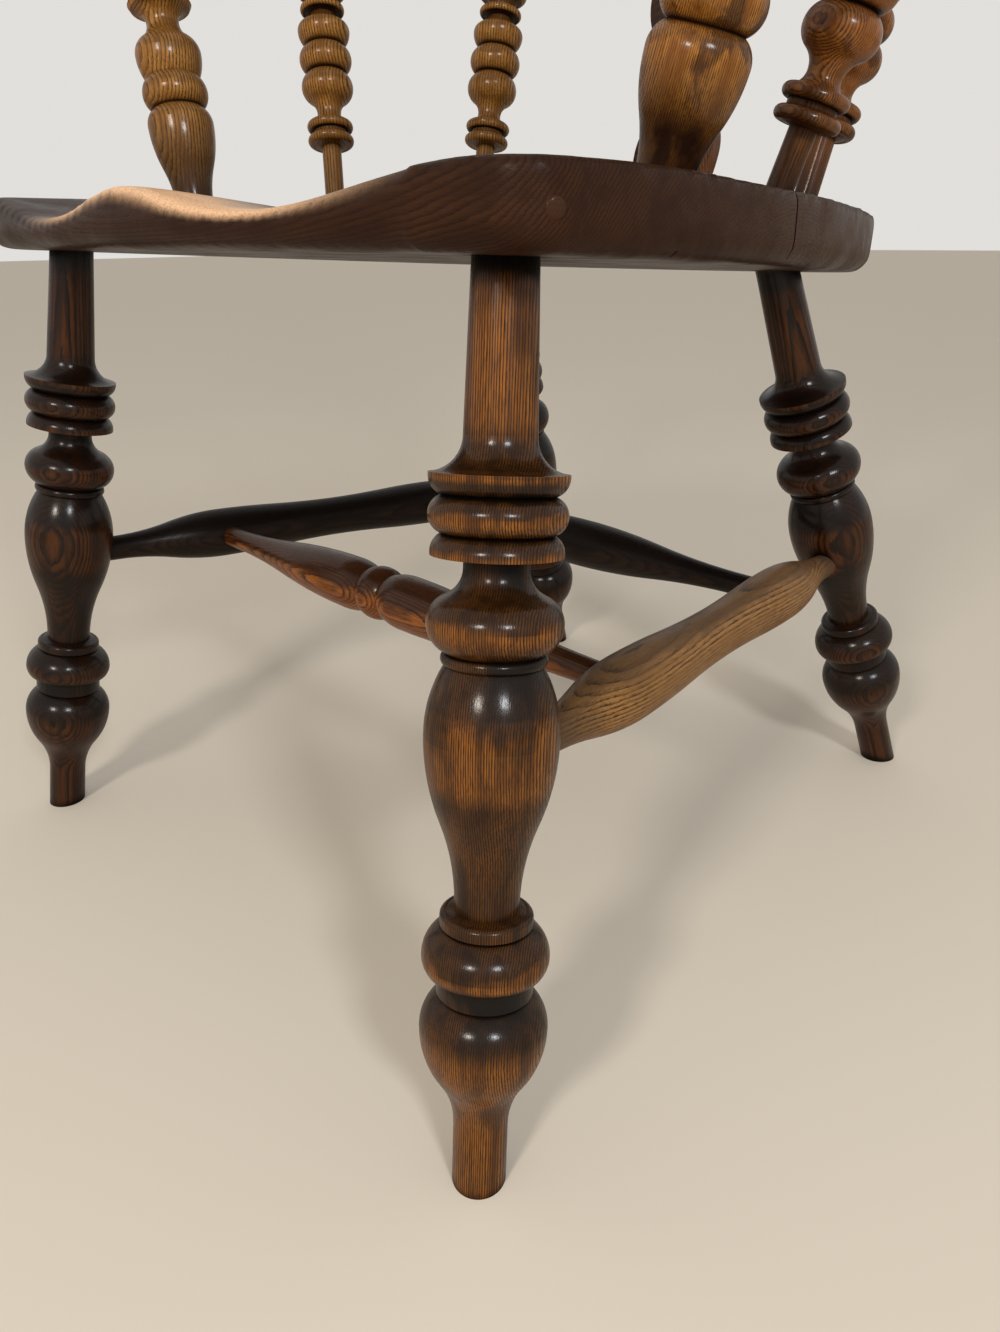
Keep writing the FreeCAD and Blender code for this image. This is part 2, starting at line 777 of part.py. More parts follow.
def side_stretcher(side_name, side):
    """Turns a side stretcher with a swell at each cross stretcher and a waist between."""
    name = f"side_stretcher_{side_name}"
    front, back = side_stretcher_line(side)
    stop = size("side_stretcher_stop")
    start = toward(front, back, stop.value)
    finish = toward(back, front, stop.value)
    middle = as_size((back - front).Length / 2)
    end_radius = size("side_stretcher_end_radius")
    tenon = size("side_stretcher_tenon")
    inset = size("side_stretcher_swell_inset")
    half = [
        Step(as_size(0), end_radius, False),
        Step(tenon, end_radius, True),
        Step(inset - stop - tenon, size("side_stretcher_swell_radius"), True),
        Step(middle - inset, size("side_stretcher_waist_radius"), True),
    ]
    body = turned(name, both_halves(half, half))
    body.Placement = along(start, finish)
    tools = []
    for end in ("front", "back"):
        bottom = cross_stretcher_tenon(end, side)
        mouth = toward(bottom, cross_stretcher_end(end, -side), 2 * mm("side_stretcher_swell_radius"))
        radius = size("cross_end_radius") + size("glue_gap")
        tools.append(rod(f"{name}_{end}_socket", radius, bottom, mouth))
    keep(name, cut(name, body, tools))


def cross_stretcher(name, end, middle_steps):
    """Turns a cross stretcher between the two side stretchers."""
    start = cross_stretcher_tenon(end, 1)
    finish = cross_stretcher_tenon(end, -1)
    tenon = size("cross_tenon")
    radius = size("cross_end_radius")
    room = as_size((finish - start).Length / 2) - tenon
    ends = [Step(as_size(0), radius, False), Step(tenon, radius, True)]
    half = ends + middle_steps(room)
    body = turned(name, both_halves(half, half))
    body.Placement = along(start, finish)
    keep(name, body)


def beaded_middle(room):
    """Gives half of the front cross stretcher's middle: a swell and half of a bead."""
    inset = size("cross_swell_inset")
    half_bead = size("cross_bead_length") / 2
    return [
        Step(room - inset, size("cross_swell_radius"), True),
        Step(inset - half_bead, size("cross_groove_radius"), False),
        Step(half_bead, size("cross_bead_radius"), True),
    ]


def plain_middle(room):
    """Gives half of the rear cross stretcher's single swell."""
    return [Step(room, size("rear_cross_radius"), True)]


# Under-arm supports
def support_line(foot_x, foot_y, head, side):
    """Gives a support's axis from the seat's top to the underside of the arm bow."""
    foot = on_seat(foot_x, foot_y, back_thickness().value)
    return mirrored(foot, side), mirrored(head, side)


def support_share():
    """Gives how much longer or shorter than drawn the supports are."""
    room = mm("arm_height") - mm("seat_height") - back_thickness().value
    return room / mm("support_drawn_height")


def support_lines():
    """Gives every turned support: its name, its axis, the radius of its ends and its turning."""
    arm = mm("arm_height")
    radius = arm_radius().value
    for side_name, side in SIDES:
        head = Vector(radius, -mm("post_top_ahead"), arm)
        line = support_line(from_side("post"), -mm("post_ahead"), head, side)
        yield f"front_arm_post_{side_name}", side, line, size("post_foot_radius"), post_half
        for kind in ("side", "rear"):
            head = polar(radius, mm(f"{kind}_spindle_angle"), arm)
            line = support_line(from_side(f"{kind}_spindle"), mm(f"{kind}_spindle_behind"), head, side)
            yield f"{kind}_spindle_{side_name}", side, line, size("spindle_stem_radius"), spindle_half


def post_half(half):
    """Gives the lower half of a front arm post's turning, up to its middle groove."""
    half_bead = size("post_bead_length") / 2
    head = [
        (size("post_bulb_fall"), size("post_low_groove_radius"), False),
        (half_bead, size("post_bead_radius"), True),
        (half_bead, size("post_high_groove_radius"), False),
        (size("post_head_rise"), size("post_head_radius"), True),
        (size("post_head_fall"), size("post_neck_radius"), True),
        (size("post_flare_length"), size("post_flare_radius"), False),
        (size("post_ring_length"), size("post_ring_radius"), False),
        (size("post_middle_length"), size("post_middle_radius"), False),
    ]
    return fit_half(half, size("post_foot_radius"), (size("post_bulb_radius"), True), head)


def spindle_half(half):
    """Gives the lower half of a thin spindle's turning, up to the middle of its central ring."""
    step = size("step_length")
    stem = size("spindle_stem_radius")
    ring_groove = size("spindle_ring_groove_radius")
    groove = size("spindle_groove_radius")
    half_ring = size("spindle_ring_length") / 2
    half_bead = size("spindle_bead_length") / 2
    ring = [(half_ring, size("spindle_ring_radius"), True), (half_ring, ring_groove, False)]
    head_neck = size("spindle_head_neck_radius")
    head = [(step, ring_groove, False)] + ring + [(size("spindle_ring_gap"), ring_groove, False)] + ring + [
        (size("spindle_neck_length"), size("spindle_neck_radius"), True),
        (size("spindle_bulb_rise"), size("spindle_bulb_radius"), True),
        (size("spindle_bulb_fall"), groove, False),
        (half_bead, size("spindle_bead_radius"), True),
        (half_bead, groove, False),
        (size("spindle_head_rise"), size("spindle_bulb_radius"), True),
        (size("spindle_head_fall"), head_neck, True),
        (step, head_neck, False),
        (step, ring_groove, False),
        (size("spindle_middle_length") / 2, size("spindle_middle_radius"), True),
    ]
    return fit_half(half, stem, (stem, False), head)


def fit_half(half, foot_radius, foot_end, head):
    """Puts a turning on a foot whose length is what the rest leaves of half the piece."""
    tenon = size("post_tenon")
    head = drawn_out([Step(*one) for one in head], support_share())
    foot = as_size(half - tenon.value - sum(one.rise.value for one in head))
    ends = [Step(as_size(0), foot_radius, False), Step(tenon, foot_radius, True), Step(foot, *foot_end)]
    return ends + head


def supports():
    """Turns the front arm posts and the thin spindles."""
    for name, _, (foot, head), _, half_turning in support_lines():
        start = toward(foot, head, -mm("post_tenon"))
        finish = toward(head, foot, -mm("post_tenon"))
        half = (finish - start).Length / 2
        lift = mm(f"{name}_lift") * support_share()
        body = turned(name, both_halves(half_turning(half + lift), half_turning(half - lift)))
        body.Placement = along(start, finish)
        keep(name, body)


def support_sockets(holder):
    """Bores the seat or an arm for the supports, the arm only for those on its own side."""
    tools = []
    for name, side, (foot, head), radius, _ in support_lines():
        start, end = (foot, head) if holder == "seat" else (head, foot)
        if holder not in ("seat", side):
            continue
        depth = mm("post_tenon")
        bottom, mouth = toward(start, end, -depth), toward(start, end, depth)
        tools.append(rod(f"{name}_hole_{len(tools)}", radius + size("glue_gap"), bottom, mouth))
    return tools


# Arm bow
def arm_outline(body, name, end_angle, lift):
    """Draws the left arm's plan from its rounded hand to a radial end at an angle."""
    inner = arm_radius() - size("arm_width") / 2
    outer = arm_radius() + size("arm_width") / 2
    hand = size("arm_hand_radius")
    reach = size("arm_reach")
    middle = arm_radius()
    turn = math.radians(end_angle.value)
    sketch = new_sketch(body, name, "XY_Plane", lift)
    drawing = Drawing()
    outside = drawing.arc((0, 0), outer.value, 0, turn)
    inside = drawing.arc((0, 0), inner.value, 0, turn)
    tip = [(radius.value * math.cos(turn), radius.value * math.sin(turn)) for radius in (inner, outer)]
    joint = drawing.line(tip[0], tip[1])
    near = drawing.line((inner.value, 0), (middle.value - hand.value, -reach.value))
    palm = drawing.arc((middle.value, -reach.value), hand.value, math.pi, 2 * math.pi)
    far = drawing.line((middle.value + hand.value, -reach.value), (outer.value, 0))
    for arc, radius in ((outside, outer), (inside, inner)):
        drawing.rule("Coincident", arc, 3, -1, 1)
        drawing.rule("PointOnObject", arc, 1, -1)
        drawing.bind(radius, "Radius", arc)
    drawing.rule("Coincident", inside, 2, joint, 1)
    drawing.rule("Coincident", joint, 2, outside, 2)
    drawing.rule("PointOnObject", -1, 1, joint)
    drawing.bind_angle(end_angle, joint)
    drawing.rule("Coincident", inside, 1, near, 1)
    drawing.rule("Coincident", near, 2, palm, 1)
    drawing.rule("Coincident", palm, 2, far, 1)
    drawing.rule("Coincident", far, 2, outside, 1)
    drawing.rule("Horizontal", palm, 1, palm, 3)
    drawing.rule("Horizontal", palm, 3, palm, 2)
    drawing.bind(hand, "Radius", palm)
    drawing.bind(middle, "DistanceX", -1, 1, palm, 3)
    drawing.bind(reach, "DistanceY", palm, 3, -1, 1)
    drawing.write(sketch)
    return sketch


def sector_outline(body, name, angle, lift):
    """Draws the back piece's plan: a ring sector from an angle to the same angle on the other side."""
    turn = math.radians(angle.value)
    sketch = new_sketch(body, name, "XY_Plane", lift)
    drawing = Drawing()
    arcs = []
    for sign in (-1, 1):
        radius = arm_radius() + size("arm_width") * sign / 2
        arc = drawing.arc((0, 0), radius.value, turn, math.pi - turn)
        drawing.rule("Coincident", arc, 3, -1, 1)
        drawing.bind(radius, "Radius", arc)
        arcs.append((arc, radius.value))
    (inside, inner), (outside, outer) = arcs
    for corner, across in ((1, 1), (2, -1)):
        reach = (across * math.cos(turn), math.sin(turn))
        joint = drawing.line(*[(radius * reach[0], radius * reach[1]) for radius in (inner, outer)])
        drawing.rule("Coincident", joint, 1, inside, corner)
        drawing.rule("Coincident", joint, 2, outside, corner)
        drawing.rule("PointOnObject", -1, 1, joint)
        drawing.bind_angle(angle if across > 0 else as_size(180) - angle, joint)
    drawing.write(sketch)
    return sketch


def layered(name, outline, low_angle, high_angle):
    """Builds a piece of the arm bow from two layers of half its thickness, and rounds its edges."""
    body = doc.addObject("PartDesign::Body", f"{name}_body")
    half = size("arm_thickness") / 2
    for layer, angle, lift in (("low", low_angle, None), ("high", high_angle, half)):
        pad = body.newObject("PartDesign::Pad", f"{name}_{layer}_layer")
        pad.Profile = outline(body, f"{name}_{layer}_outline", angle, lift)
        pad.setExpression("Length", half.formula)
        doc.recompute()
    edges = []
    for number, edge in enumerate(pad.Shape.Edges, start=1):
        start, end = edge.Vertexes[0].Point, edge.Vertexes[-1].Point
        from_bottom, from_top = abs(edge.BoundBox.ZMax), abs(edge.BoundBox.ZMin - mm("arm_thickness"))
        straight = edge.Curve.TypeId == "Part::GeomLine"
        radial = straight and abs(start.x * end.y - start.y * end.x) < mm("arm_width")
        if min(from_bottom, from_top) < mm("glue_gap") and not radial:
            edges.append(f"Edge{number}")
    rounding = body.newObject("PartDesign::Fillet", f"{name}_rounding")
    rounding.Base = (pad, edges)
    rounding.setExpression("Radius", "Sizes.arm_edge_radius")
    body.Tip = rounding
    doc.recompute()
    return body


def lap_peg_rods(name, radius):
    """Gives two upright pegs through each half-lap of the arm bow."""
    middle = (mm("arm_lap_start_angle") + mm("arm_lap_end_angle")) / 2
    rods = []
    for side_name, side in SIDES:
        for sign in (-1, 1):
            reach = arm_radius().value + sign * mm("arm_peg_offset")
            foot = mirrored(polar(reach, middle, mm("arm_height")), side)
            top = foot + Vector(0, 0, mm("arm_thickness"))
            rods.append(rod(f"{name}_{side_name}_{len(rods)}", radius, foot, top))
    return rods


def arm_bow():
    """Makes the two arms and the back piece that is half-lapped on them, with their pegs."""
    lap_start, lap_end = size("arm_lap_start_angle"), size("arm_lap_end_angle")
    hole_radius = size("arm_peg_radius") + size("glue_gap")
    place = Vector(0, 0, mm("arm_height"))
    for side_name, side in SIDES:
        name = f"arm_{side_name}"
        blank = layered(name, arm_outline, lap_end, lap_start)
        if side < 0:
            other = doc.addObject("Part::Mirroring", f"{name}_mirrored")
            other.Source = blank
            other.Normal = (1, 0, 0)
            doc.recompute()
            blank = other
        blank.Placement.Base = place
        doc.recompute()
        tools = support_sockets(side) + lap_peg_rods(f"{name}_peg_hole", hole_radius)
        tools.append(hoop_rod(f"{name}_hoop_hole", side, size("hoop_rod_radius") + size("glue_gap")))
        tools += stick_holes(f"{name}_stick_hole", "foot", side)
        keep(name, cut(name, blank, tools))
    back = layered("arm_back", sector_outline, lap_end, lap_start)
    back.Placement.Base = place
    tools = lap_peg_rods("arm_back_peg_hole", hole_radius)
    tools += stick_holes("arm_back_stick_hole", "foot", 0)
    tools += [splat_mortise("arm_back_low_mortise", "lower", "top"),
              splat_mortise("arm_back_high_mortise", "upper", "foot")]
    keep("arm_back", cut("arm_back", back, tools))
    pegs = doc.addObject("Part::Compound", "arm_lap_pegs_group")
    pegs.Links = lap_peg_rods("arm_lap_peg", size("arm_peg_radius"))
    keep("arm_lap_pegs", pegs)


# Back hoop
def hoop_curve():
    """Gives the hoop's base half-width, its arc's radius and the height of the arc's centre."""
    half = arm_radius().value * math.cos(math.radians(mm("hoop_base_angle")))
    flare = math.radians(mm("hoop_flare_angle"))
    rise = mm("hoop_rise")
    radius = (half * math.cos(flare) + rise * math.sin(flare)) / (1 + math.sin(flare))
    return half, radius, rise - radius


def hoop_place():
    """Gives the hoop's plane: local X across, Z up along the lean, from the arm bow's top."""
    base = polar(arm_radius().value, mm("hoop_base_angle"), mm("arm_height") + mm("arm_thickness"))
    return Placement(Vector(0, base.y, base.z), Rotation(Vector(1, 0, 0), -mm("hoop_lean_angle")))


def hoop_rod(name, side, radius):
    """Gives one straight end of the hoop, from its tenon's end to where its arc begins."""
    half, bend, height = hoop_curve()
    flare = math.radians(mm("hoop_flare_angle"))
    joint = Vector(side * bend * math.cos(flare), 0, height - bend * math.sin(flare))
    base = Vector(side * half, 0, 0)
    place = hoop_place()
    start = toward(base, joint, -mm("arm_thickness") / 2 + mm("arm_web"))
    return rod(name, radius, place.multVec(start), place.multVec(joint))


def hoop():
    """Bends the back hoop: an arc between two straight ends, bored for the sticks and the splat."""
    _, bend, height = hoop_curve()
    bow = doc.addObject("Part::Torus", "hoop_arc")
    bow.Radius1 = bend
    bow.setExpression("Radius2", "Sizes.hoop_rod_radius")
    bow.setExpression("Angle3", "180 + 2 * Sizes.hoop_flare_angle")
    turn = Rotation(Vector(1, 0, 0), 90) * Rotation(Vector(0, 0, 1), -mm("hoop_flare_angle"))
    bow.Placement = hoop_place() * Placement(Vector(0, 0, height), turn)
    ends = [hoop_rod(f"hoop_end_{side_name}", side, size("hoop_rod_radius")) for side_name, side in SIDES]
    whole = doc.addObject("Part::MultiFuse", "hoop_whole")
    whole.Shapes = [bow] + ends
    whole.Refine = True
    doc.recompute()
    tools = [splat_mortise("hoop_mortise", "upper", "top")]
    for side_name, side in SIDES:
        tools += stick_holes(f"hoop_stick_hole_{side_name}", "top", side)
    keep("back_hoop", cut("back_hoop", whole, tools))


def stick_lines(side):
    """Gives each stick's axis from the arm bow's top to the middle of the hoop's rod."""
    half, bend, height = hoop_curve()
    pitch = (half - mm("stick_first_x")) / STICKS_PER_SIDE
    top_plane = mm("arm_height") + mm("arm_thickness")
    for number in range(STICKS_PER_SIDE):
        foot_x = mm("stick_first_x") + number * pitch
        foot = Vector(foot_x, math.sqrt(arm_radius().value ** 2 - foot_x ** 2), top_plane)
        turn = math.radians(mm("stick_first_angle") + number * mm("stick_angle_pitch"))
        top = hoop_place().multVec(Vector(bend * math.sin(turn), 0, height + bend * math.cos(turn)))
        yield number + 1, mirrored(foot, side), mirrored(top, side)


def stick_foot_depth():
    """Gives how deep a stick goes into the arm bow: not through its upper layer."""
    return mm("arm_thickness") / 2 - mm("arm_web")


def stick_holes(name, end, side):
    """Bores the arm bow or the hoop for the sticks of one side, or of both for side 0."""
    tools = []
    for _, one_side in SIDES:
        if side not in (0, one_side):
            continue
        for _, foot, top in stick_lines(one_side):
            here, there = (foot, top) if end == "foot" else (top, foot)
            depth = -stick_foot_depth() if end == "foot" else mm("arm_web") / 2
            radius = size(f"stick_{end}_radius") + size("glue_gap")
            bottom = toward(here, there, depth)
            mouth = toward(here, there, 2 * mm("hoop_rod_radius"))
            tools.append(rod(f"{name}_{len(tools)}", radius, bottom, mouth))
    return tools


def sticks():
    """Turns the straight sticks, a little fuller in the middle than at their ends."""
    for side_name, side in SIDES:
        for number, foot, top in stick_lines(side):
            name = f"back_stick_{side_name}_{number}"
            start = toward(foot, top, -stick_foot_depth())
            finish = toward(top, foot, mm("arm_web") / 2)
            foot_radius, top_radius = size("stick_foot_radius"), size("stick_top_radius")
            straight = size("hoop_rod_radius") * 2
            taper = as_size((finish - start).Length / 2) - straight
            body = turned(name, [
                Step(as_size(0), foot_radius, False),
                Step(straight, foot_radius, False),
                Step(taper, size("stick_middle_radius"), False),
                Step(taper, top_radius, False),
                Step(straight, top_radius, False),
            ])
            body.Placement = along(start, finish)
            keep(name, body)


# Splats
def splat_line(which):
    """Gives a splat's middle line between the surfaces that it stands between, and its tenons' depths."""
    if which == "lower":
        foot = on_seat(0, mm("splat_behind"), back_thickness().value)
        return foot, Vector(0, arm_radius().value, mm("arm_height")), mm("post_tenon"), mm("arm_tenon")
    foot = Vector(0, arm_radius().value, mm("arm_height") + mm("arm_thickness"))
    top = hoop_place().multVec(Vector(0, 0, mm("hoop_rise")))
    return foot, top, stick_foot_depth(), -mm("arm_web")


def splat_place(which):
    """Gives a splat's place, from the end of its lower tenon."""
    foot, top, depth, _ = splat_line(which)
    lean = math.degrees(math.atan2(top.y - foot.y, top.z - foot.z))
    return Placement(toward(foot, top, -depth), Rotation(Vector(1, 0, 0), -lean))


def splat(which, prefix):
    """Cuts a splat: a foot, a bulge, a waist, a wider shoulder and a narrower top."""
    foot, top, low_depth, high_depth = splat_line(which)
    total = (top - foot).Length + low_depth + high_depth
    places = ("foot", "bulge", "waist", "shoulder", "top")
    half = {place: size(f"{prefix}_{place}_width") / 2 for place in places}
    steps = [
        Step(as_size(0), half["foot"], False),
        Step(size("post_tenon"), half["foot"], True),
        Step(size(f"{prefix}_bulge_rise"), half["bulge"], True),
        Step(size(f"{prefix}_waist_rise"), half["waist"], True),
        Step(size(f"{prefix}_shoulder_rise"), half["shoulder"], True),
    ]
    end = size("arm_tenon")
    share = (total - end.value - mm("post_tenon")) / mm(f"{prefix}_drawn_length")
    steps = steps[:2] + drawn_out(steps[2:], share)
    used = sum(one.rise.value for one in steps)
    steps += [Step(as_size(total - used - end.value), half["top"], True), Step(end, half["top"], False)]
    body = board(f"{which}_splat", steps, size("splat_thickness"))
    body.Placement = splat_place(which)
    keep(f"{which}_splat", body)


def splat_mortise(name, which, end):
    """Gives the slot for one end of a splat."""
    prefix = "splat" if which == "lower" else "upper_splat"
    foot, top, low_depth, high_depth = splat_line(which)
    gap = size("glue_gap") * 2
    width = size(f"{prefix}_{end}_width") + gap
    thickness = size("splat_thickness") + gap
    slot = bar(name, width, thickness, size("arm_thickness"))
    lift = 0.0 if end == "foot" else (top - foot).Length + low_depth + high_depth - mm("arm_thickness")
    corner = Vector(-width.value / 2, -thickness.value / 2, lift)
    slot.Placement = splat_place(which) * Placement(corner, Rotation())
    return slot


# Whole chair
def seat():
    """Carves the seat and bores it for the legs, the supports, the splat and the leg pegs."""
    blank = seat_blank()
    waste = saddle_waste()
    for item in (blank, waste):
        item.Placement = seat_placement()
    carved = cut("seat_carving", blank, [waste])
    tools = support_sockets("seat")
    tools.append(splat_mortise("seat_mortise", "lower", "foot"))
    pegs = []
    for side_name, side in SIDES:
        for end in ("front", "back"):
            tools.append(leg_socket(end, side_name, side))
        radius = size("leg_peg_radius")
        tools.append(leg_peg_rod(f"seat_peg_hole_{side_name}", side_name, side, radius + size("glue_gap")))
        flush = doc.addObject("Part::Common", f"leg_peg_{side_name}")
        flush.Base = leg_peg_rod(f"leg_peg_rod_{side_name}", side_name, side, radius)
        flush.Tool = blank
        pegs.append(flush)
    group = doc.addObject("Part::Compound", "leg_pegs_group")
    group.Links = pegs
    doc.recompute()
    keep("seat", cut("seat", carved, tools))
    keep("leg_pegs", group)


def build():
    """Makes every piece of the chair."""
    fill_sheet()
    seat()
    for side_name, side in SIDES:
        for end in ("front", "back"):
            leg(end, side_name, side)
        side_stretcher(side_name, side)
    cross_stretcher("front_cross_stretcher", "front", beaded_middle)
    cross_stretcher("rear_cross_stretcher", "back", plain_middle)
    supports()
    splat("lower", "splat")
    arm_bow()
    hoop()
    sticks()
    splat("upper", "upper_splat")


def centre_on_floor():
    """Moves every piece so that the origin lies under the middle of the chair's depth."""
    boxes = [piece.Shape.optimalBoundingBox() for piece in pieces]
    middle = (min(box.YMin for box in boxes) + max(box.YMax for box in boxes)) / 2
    for piece in pieces:
        piece.Placement = Placement(Vector(0, -middle, 0), Rotation()) * piece.Placement
    doc.recompute()


def check():
    """Stops if any object failed or any piece is not a sound solid."""
    failed = [item.Name for item in doc.Objects if {"Invalid", "Error"} & set(item.State)]
    for piece in pieces:
        if piece.Shape.isNull() or not piece.Shape.isValid() or not piece.Shape.Solids:
            failed.append(piece.Label)
    if failed:
        raise RuntimeError(f"not sound: {failed}")


def export():
    """Writes each piece to its own file."""
    os.makedirs("parts", exist_ok=True)
    for piece in pieces:
        piece.Shape.exportStep(f"parts/{piece.Label}.step")
        print(piece.Label, len(piece.Shape.Solids), round(piece.Shape.Volume))


build()
centre_on_floor()
check()
export()
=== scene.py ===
"""Looks of a windsor armchair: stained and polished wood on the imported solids, with a worn seat."""
import logging
import math
from dataclasses import dataclass, field
from enum import Enum

import bpy
import numpy as np
from mathutils import Euler, Matrix, Vector


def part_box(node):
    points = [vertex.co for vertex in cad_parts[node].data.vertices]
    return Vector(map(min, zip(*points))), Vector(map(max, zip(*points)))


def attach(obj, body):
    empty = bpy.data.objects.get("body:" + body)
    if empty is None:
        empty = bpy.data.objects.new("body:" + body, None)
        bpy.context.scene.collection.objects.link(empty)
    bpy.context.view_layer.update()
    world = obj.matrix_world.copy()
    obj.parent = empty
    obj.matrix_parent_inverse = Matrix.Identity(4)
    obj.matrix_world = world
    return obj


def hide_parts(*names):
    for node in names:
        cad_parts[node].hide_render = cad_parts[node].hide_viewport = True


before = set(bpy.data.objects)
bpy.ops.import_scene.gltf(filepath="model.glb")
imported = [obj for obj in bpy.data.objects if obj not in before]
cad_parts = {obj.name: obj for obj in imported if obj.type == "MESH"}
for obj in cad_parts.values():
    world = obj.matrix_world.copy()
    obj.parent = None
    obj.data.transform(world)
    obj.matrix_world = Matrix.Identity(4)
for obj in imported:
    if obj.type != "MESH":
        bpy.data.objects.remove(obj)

LOG = logging.getLogger("windsor_armchair")
ROOT = "root"
SIDES = ("left", "right")
# A ring pattern of scale 1 has a ring every so many metres
RING_PERIOD = 0.314
Colour = tuple[float, float, float, float]


def stain(red: int, green: int, blue: int) -> Colour:
    """Gives a colour as the eye reads it, from 0 to 255, in the values that shaders use.

    Args:
        red: Share of red.
        green: Share of green.
        blue: Share of blue.

    Returns:
        The colour in linear values, fully opaque.
    """
    shares = [value / 255 for value in (red, green, blue)]
    linear = [share / 12.92 if share <= 0.04045 else ((share + 0.055) / 1.055) ** 2.4 for share in shares]
    return (linear[0], linear[1], linear[2], 1.0)


def select_only(*objects: bpy.types.Object) -> None:
    """Makes these objects the only selected ones, and the last of them active.

    Args:
        objects: The objects to select.
    """
    bpy.ops.object.select_all(action="DESELECT")
    for item in objects:
        item.select_set(True)
        bpy.context.view_layer.objects.active = item


def apply_modifier(piece: bpy.types.Object, kind: str, **settings: object) -> None:
    """Adds a modifier to a piece and applies it.

    Args:
        piece: The piece to change.
        kind: The modifier's type.
        settings: Its settings.
    """
    select_only(piece)
    modifier = piece.modifiers.new(kind.title(), kind)
    for name, value in settings.items():
        setattr(modifier, name, value)
    bpy.ops.object.modifier_apply(modifier=modifier.name)


def copy_of_node(node: str, name: str) -> bpy.types.Object:
    """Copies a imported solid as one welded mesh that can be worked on.

    Args:
        node: The solid's name.
        name: The copy's name.

    Returns:
        The copy, free of its parent.
    """
    select_only(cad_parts[node])
    bpy.ops.object.duplicate()
    copy = bpy.context.active_object
    copy.name = name
    copy.parent = None
    for key in list(copy.keys()):
        del copy[key]
    bpy.ops.object.mode_set(mode="EDIT")
    bpy.ops.mesh.select_all(action="SELECT")
    bpy.ops.mesh.remove_doubles(threshold=1e-6)
    bpy.ops.object.mode_set(mode="OBJECT")
    copy.data.materials.clear()
    return copy


def node_points(node: str) -> np.ndarray:
    """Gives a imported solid's points.

    Args:
        node: The solid's name.

    Returns:
        One row of X, Y and Z for each point.
    """
    return np.array([vertex.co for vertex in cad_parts[node].data.vertices])


@dataclass(frozen=True)
class Axis:
    """The straight middle line of a turned piece."""

    start: Vector
    end: Vector

    @classmethod
    def of_points(cls, points: np.ndarray) -> "Axis":
        """Finds the middle line of a straight turning from the rings of points at its two ends.

        Args:
            points: Its points.

        Returns:
            The line, from its lower end to its upper end.
        """
        points = np.unique(points.round(6), axis=0)
        middle = points.mean(axis=0)
        direction = np.linalg.eigh(np.cov((points - middle).T))[1][:, 2]
        if direction[2] < 0:
            direction = -direction
        reach = (points - middle) @ direction
        close = 3e-4
        low = points[reach < reach.min() + close]
        on_floor = points[points[:, 2] < close]
        if len(on_floor) > 2:
            low = on_floor
        high = points[reach > reach.max() - close]
        return cls(Vector(low.mean(axis=0)), Vector(high.mean(axis=0)))

    @classmethod
    def of_node(cls, node: str) -> "Axis":
        """Finds the middle line of a packed turning.

        Args:
            node: The turning's name.

        Returns:
            The line, from its lower end to its upper end.
        """
        return cls.of_points(node_points(node))

    def downward(self, skipped: float) -> "Axis":
        """Gives the line from its upper end down.

        Args:
            skipped: How much of the upper end is left out.

        Returns:
            The line.
        """
        return Axis(self.end - self.direction * skipped, self.start)

    @property
    def length(self) -> float:
        """Gives the line's length."""
        return (self.end - self.start).length

    @property
    def direction(self) -> Vector:
        """Gives the line's direction."""
        return (self.end - self.start).normalized()

    def place(self, heart: Vector) -> Matrix:
        """Gives the frame whose origin is the line's start and whose Z axis runs along it.

        Args:
            heart: The direction, across the line, in which the tree's heart lay: the frame's X axis.

        Returns:
            The frame's place.
        """
        z_axis = self.direction
        y_axis = z_axis.cross(heart).normalized()
        x_axis = y_axis.cross(z_axis)
        turn = Matrix((x_axis, y_axis, z_axis)).transposed().to_4x4()
        return Matrix.Translation(self.start) @ turn


